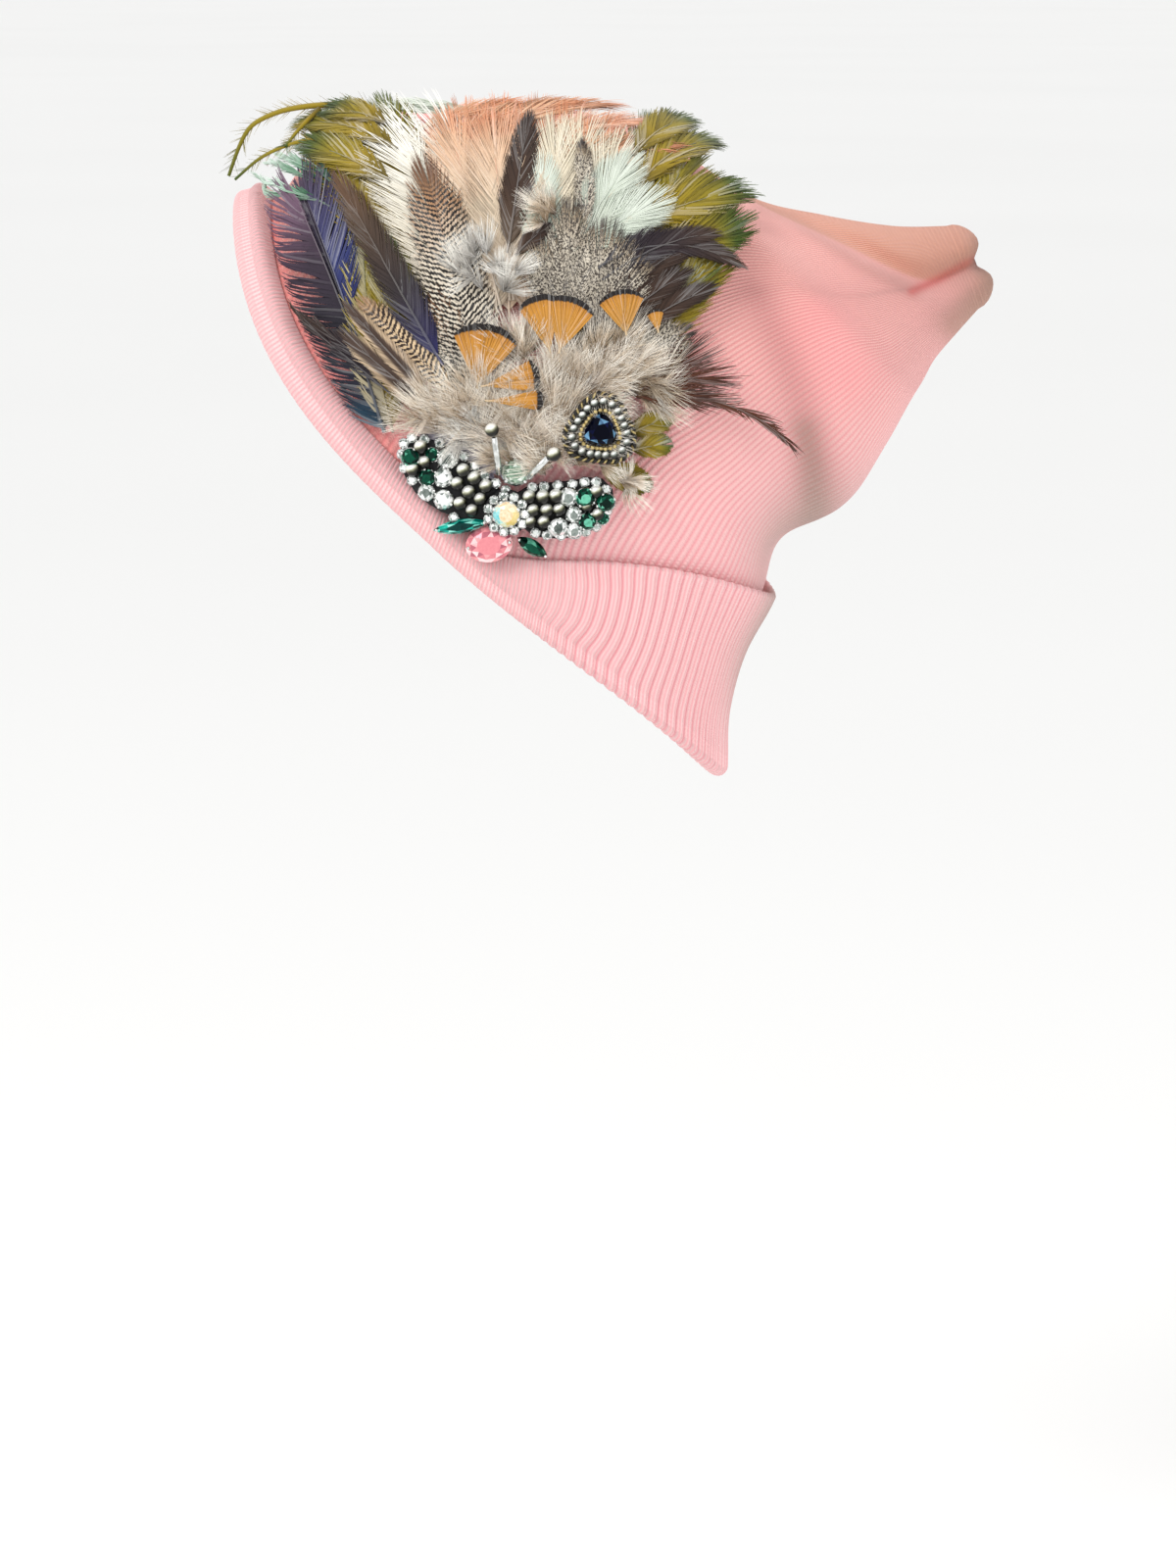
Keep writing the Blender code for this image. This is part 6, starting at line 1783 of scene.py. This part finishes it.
    def flower(self, layout: Layout, silver: bmesh.types.BMesh) -> None:
        """The round body: one rainbow stone in a ring of crystals on a black pad."""
        across, up = self.FLOWER
        pad = bmesh.new()
        seat = layout.matrix(layout.standing(across, up, self.wing_high + 0.0004))
        bmesh.ops.create_cone(
            pad, cap_ends=True, segments=32, radius1=0.0084, radius2=0.0080, depth=0.0016,
            matrix=seat @ Matrix.Translation((0, 0, 0.0008)),
        )
        body = dressed(pad, "moth_body_pad", JET.made(), smooth=False)
        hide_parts("moth_body")
        stones = bmesh.new()
        for i in range(11):
            turn = math.tau * i / 11
            at = seat @ Matrix.Translation((0.0066 * math.cos(turn), 0.0066 * math.sin(turn), 0.0016))
            Jewels.cup(silver, at, 0.0033, 0.0011)
            Jewels.cut_stone(stones, at @ Matrix.Translation((0, 0, 0.0008)), Jewels.round_outline(0.0033), 0.0012)
        faceted(stones, "flower_crystals", CLEAR.made(), 44)
        middle = bmesh.new()
        at = seat @ Matrix.Translation((0, 0, 0.0016))
        Jewels.cup(silver, at, 0.0092, 0.0016, 8)
        Jewels.cut_stone(middle, at @ Matrix.Translation((0, 0, 0.0012)), Jewels.round_outline(0.0094), 0.0028, 10)
        faceted(middle, "flower_stone", RAINBOW.made(), 45, at)

    def head_and_tail(self, layout: Layout, silver: bmesh.types.BMesh) -> None:
        """The clear head, the rose tail and the two pointed leaves."""
        size = self.HEAD.size * MM
        mesh = bmesh.new()
        at = layout.matrix(layout.standing(self.HEAD.across, self.HEAD.up, self.stone_seat - 0.001))
        Jewels.cup(silver, at, size, size * 0.3)
        Jewels.cut_stone(mesh, at @ Matrix.Translation((0, 0, 0.002)), Jewels.round_outline(size), size * 0.36, 10)
        head = faceted(mesh, "moth_head_crystal", MINT_CRYSTAL.made(), 46)
        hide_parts("moth_head_stone")
        pieces = (
            ("moth_tail_crystal", "moth_tail_stone", ROSE, (-7.6, -159.6), 8.0, (0.0168, 0.0128), 0.0062, "rose_glass"),
            ("moth_front_leaf_crystal", "moth_front_leaf", TEAL, (-18.0, -152.9), 9.0, (0.0196, 0.0052), 0.0066, "emerald_glass"),
            ("moth_back_leaf_crystal", "moth_back_leaf", EMERALD, (8.3, -160.4), -34.0, (0.0128, 0.0056), 0.0038, "emerald_glass"),
        )
        for name, node, finish, place, turn, (long, wide), rise, slot in pieces:
            mesh = bmesh.new()
            at = layout.matrix(layout.standing(*place, rise), turn)
            outline = Jewels.leaf_outline(long, wide) if "leaf" in name else Jewels.leaf_outline(long, wide * 1.25)
            if "leaf" not in name:
                outline = lambda t, a=long, b=wide: (a / 2 * math.cos(math.tau * t), b / 2 * math.sin(math.tau * t))
            Jewels.cut_stone(mesh, at, outline, 0.0034, 10 if "leaf" in name else 12)
            stone = faceted(mesh, name, finish.made(), 47)
            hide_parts(node)
            for end in (-1, 1):
                spot = at @ Matrix.Translation((end * long * 0.44, 0, 0.0022))
                Jewels.pearl(silver, spot, 0.0013, 2)

    def antennae(self, layout: Layout, silver: bmesh.types.BMesh) -> None:
        """Two silver rods with a pearl at their ends."""
        rods = (
            ("front", (-3.8, -133.8), (-5.6, -120.2), (-6.5, -117.6)),
            ("back", (6.9, -135.0), (14.0, -127.8), (16.3, -126.6)),
        )
        for name, foot, end, bead in rods:
            start, stop = layout.standing(*foot, 0.0116), layout.standing(*end, 0.0146)
            run = stop - start
            turned = run.to_track_quat("Z", "Y").to_matrix().to_4x4()
            mesh = bmesh.new()
            bmesh.ops.create_cone(
                mesh, cap_ends=True, segments=16, radius1=0.0012, radius2=0.0012, depth=run.length,
                matrix=Matrix.Translation((start + stop) / 2) @ turned,
            )
            rod = dressed(mesh, f"{name}_antenna_rod", SILVER.made())
            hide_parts(f"moth_{name}_antenna")
            top = bmesh.new()
            Jewels.pearl(top, Matrix.Translation(layout.standing(*bead, 0.0152)), 0.0050)
            pearl = dressed(top, f"{name}_antenna_bead", PEWTER.made())
            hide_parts(f"moth_{name}_antenna_pearl")


@dataclass
class HeartBrooch:
    """The heart: a rope rim, a ring of pearls, a ring of gilt beads and a dark blue stone."""

    across: float = 33.1
    up: float = -117.7
    size: float = 0.0278
    rope: float = 0.0022
    seat: float = 0.0086
    lean: float = -6.0

    def build(self, layout: Layout) -> None:
        """Makes the brooch."""
        at = layout.matrix(layout.standing(self.across, self.up, self.seat), self.lean)
        base = bmesh.new()
        outline = Jewels.heart_outline(self.size - self.rope * 1.6)
        corners = [base.verts.new(at @ Vector((*outline(i / 48), 0.0))) for i in range(48)]
        made = bmesh.ops.extrude_face_region(base, geom=[base.faces.new(corners)])
        for vert in [v for v in made["geom"] if isinstance(v, bmesh.types.BMVert)]:
            vert.co += at.to_3x3() @ Vector((0, 0, 0.0018))
        bmesh.ops.recalc_face_normals(base, faces=base.faces)
        setting = dressed(base, "heart_base", JET.made(), smooth=False)
        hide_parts("heart_setting")
        self.twist(at)
        pearls, beads = bmesh.new(), bmesh.new()
        for i in range(20):
            x, y = Jewels.heart_outline(self.size - self.rope * 2 - 0.0030)(i / 20)
            Jewels.pearl(pearls, at @ Matrix.Translation((x, y, 0.0026)), 0.0030, 2)
        for i in range(26):
            x, y = Jewels.heart_outline(0.0146)(i / 26)
            Jewels.pearl(beads, at @ Matrix.Translation((x, y, 0.0028)) @ Matrix.Scale(0.8, 4, (0, 0, 1)), 0.0017, 2)
        dressed(pearls, "heart_pearls", GREY_PEARL.made())
        dressed(beads, "heart_gilt_beads", GILT.made())
        stone = bmesh.new()
        Jewels.cut_stone(stone, at @ Matrix.Translation((0, 0, 0.0022)), Jewels.heart_outline(0.0122), 0.0040, 9)
        blue = faceted(stone, "heart_blue_stone", SAPPHIRE.made(), 48)
        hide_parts("heart_stone")

    def twist(self, at: Matrix) -> None:
        """The rope rim: a gilt and a black strand wound round each other."""
        outline = Jewels.heart_outline(self.size - self.rope)
        steps, turns = 600, 28
        kinds = (("heart_gilt_strand", 0.0, 0.22, GILT), ("heart_black_strand", math.pi, 0.34, BLACK_CORD))
        for name, phase, thick, finish in kinds:
            strands = Strands()
            points = []
            for i in range(steps + 1):
                x, y = outline((i / steps) % 1.0)
                radial = Vector((x, y, 0)).normalized()
                wind = math.tau * turns * i / steps + phase
                way = radial * math.cos(wind) + Vector((0, 0, 1)) * math.sin(wind)
                points.append(at @ (Vector((x, y, 0.0014)) + way * (self.rope * 0.24)))
            line = np.array(points)
            tangent = np.gradient(line, axis=0)
            tangent /= np.linalg.norm(tangent, axis=1, keepdims=True)
            side = np.cross(tangent, np.array(at.to_3x3() @ Vector((0, 0, 1))))
            side /= np.linalg.norm(side, axis=1, keepdims=True)
            strands.shaft(line, np.full(steps + 1, self.rope * thick), side, np.cross(side, tangent), 0.5)
            strands.made(name, finish.made())


# ---- the studio ------------------------------------------------------------------------------


@dataclass
class Studio:
    """A pale floor, soft light and the camera at the photograph's angle."""

    target: tuple[float, float, float] = (0.03874, 0.0288, -0.24464)
    lens: float = 125.0
    floor_z: float = -0.62
    floor_size: float = 300.0

    def build(self) -> None:
        """Makes the floor, the lights, the world and the camera."""
        scene = bpy.context.scene
        mesh = bmesh.new()
        bmesh.ops.create_grid(mesh, x_segments=8, y_segments=8, size=self.floor_size, matrix=Matrix.Translation((0, 0, self.floor_z)))
        s = Shading("pale_floor", 0.9)
        vector, _ = s.place()
        s.colour(s.mix(s.noise(vector, 0.6, 2.0), srgb(250, 250, 249), srgb(246, 246, 245)))
        data = bpy.data.meshes.new("studio_floor")
        mesh.to_mesh(data)
        mesh.free()
        data.materials.append(s.material)
        floor = bpy.data.objects.new("studio_floor", data)
        scene.collection.objects.link(floor)
        self.light("key_light", (1.5, -1.1, 1.5), 0.8, 24.0, (1.0, 0.985, 0.96))
        self.light("fill_light", (1.6, 1.6, 0.5), 1.4, 4.0, (0.97, 0.99, 1.0))
        world = bpy.data.worlds.new("studio")
        scene.world = world
        world.use_nodes = True
        world.node_tree.nodes["Background"].inputs[0].default_value = (1.0, 1.0, 1.0, 1.0)
        world.node_tree.nodes["Background"].inputs[1].default_value = 0.96
        camera = bpy.data.objects.new("camera", bpy.data.cameras.new("camera"))
        scene.collection.objects.link(camera)
        camera.location = Layout.eye
        camera.rotation_mode = "QUATERNION"
        camera.rotation_quaternion = (Vector(self.target) - Layout.eye).to_track_quat("-Z", "Y")
        camera.data.lens = self.lens
        camera.data.clip_end = 1000.0
        scene.camera = camera
        scene.view_settings.view_transform = "Standard"

    @staticmethod
    def light(name: str, place: tuple[float, float, float], size: float, power: float, colour: tuple[float, float, float]) -> None:
        """A square area light that faces the hat."""
        lamp = bpy.data.lights.new(name, "AREA")
        lamp.size = size
        lamp.energy = power
        lamp.color = colour
        thing = bpy.data.objects.new(name, lamp)
        bpy.context.scene.collection.objects.link(thing)
        thing.location = place
        thing.rotation_mode = "QUATERNION"
        thing.rotation_quaternion = (Vector((0.0, 0.03, -0.10)) - Vector(place)).to_track_quat("-Z", "Y")


def main() -> None:
    """Builds the beanie in order."""
    logging.basicConfig(level=logging.INFO, format="%(message)s")
    layout = KnittedCrown().build()
    RibbedCuff().build()
    for group in feather_groups():
        group.build(layout)
    for tuft in down_tufts():
        tuft.build(layout)
    StrayStrands("stray_olive_strands", "olive_plume", OLIVE_FINISH, STRAY_OLIVE).build(layout)
    MothBrooch().build(layout)
    HeartBrooch().build(layout)
    Studio().build()


if __name__ == "__main__":
    main()
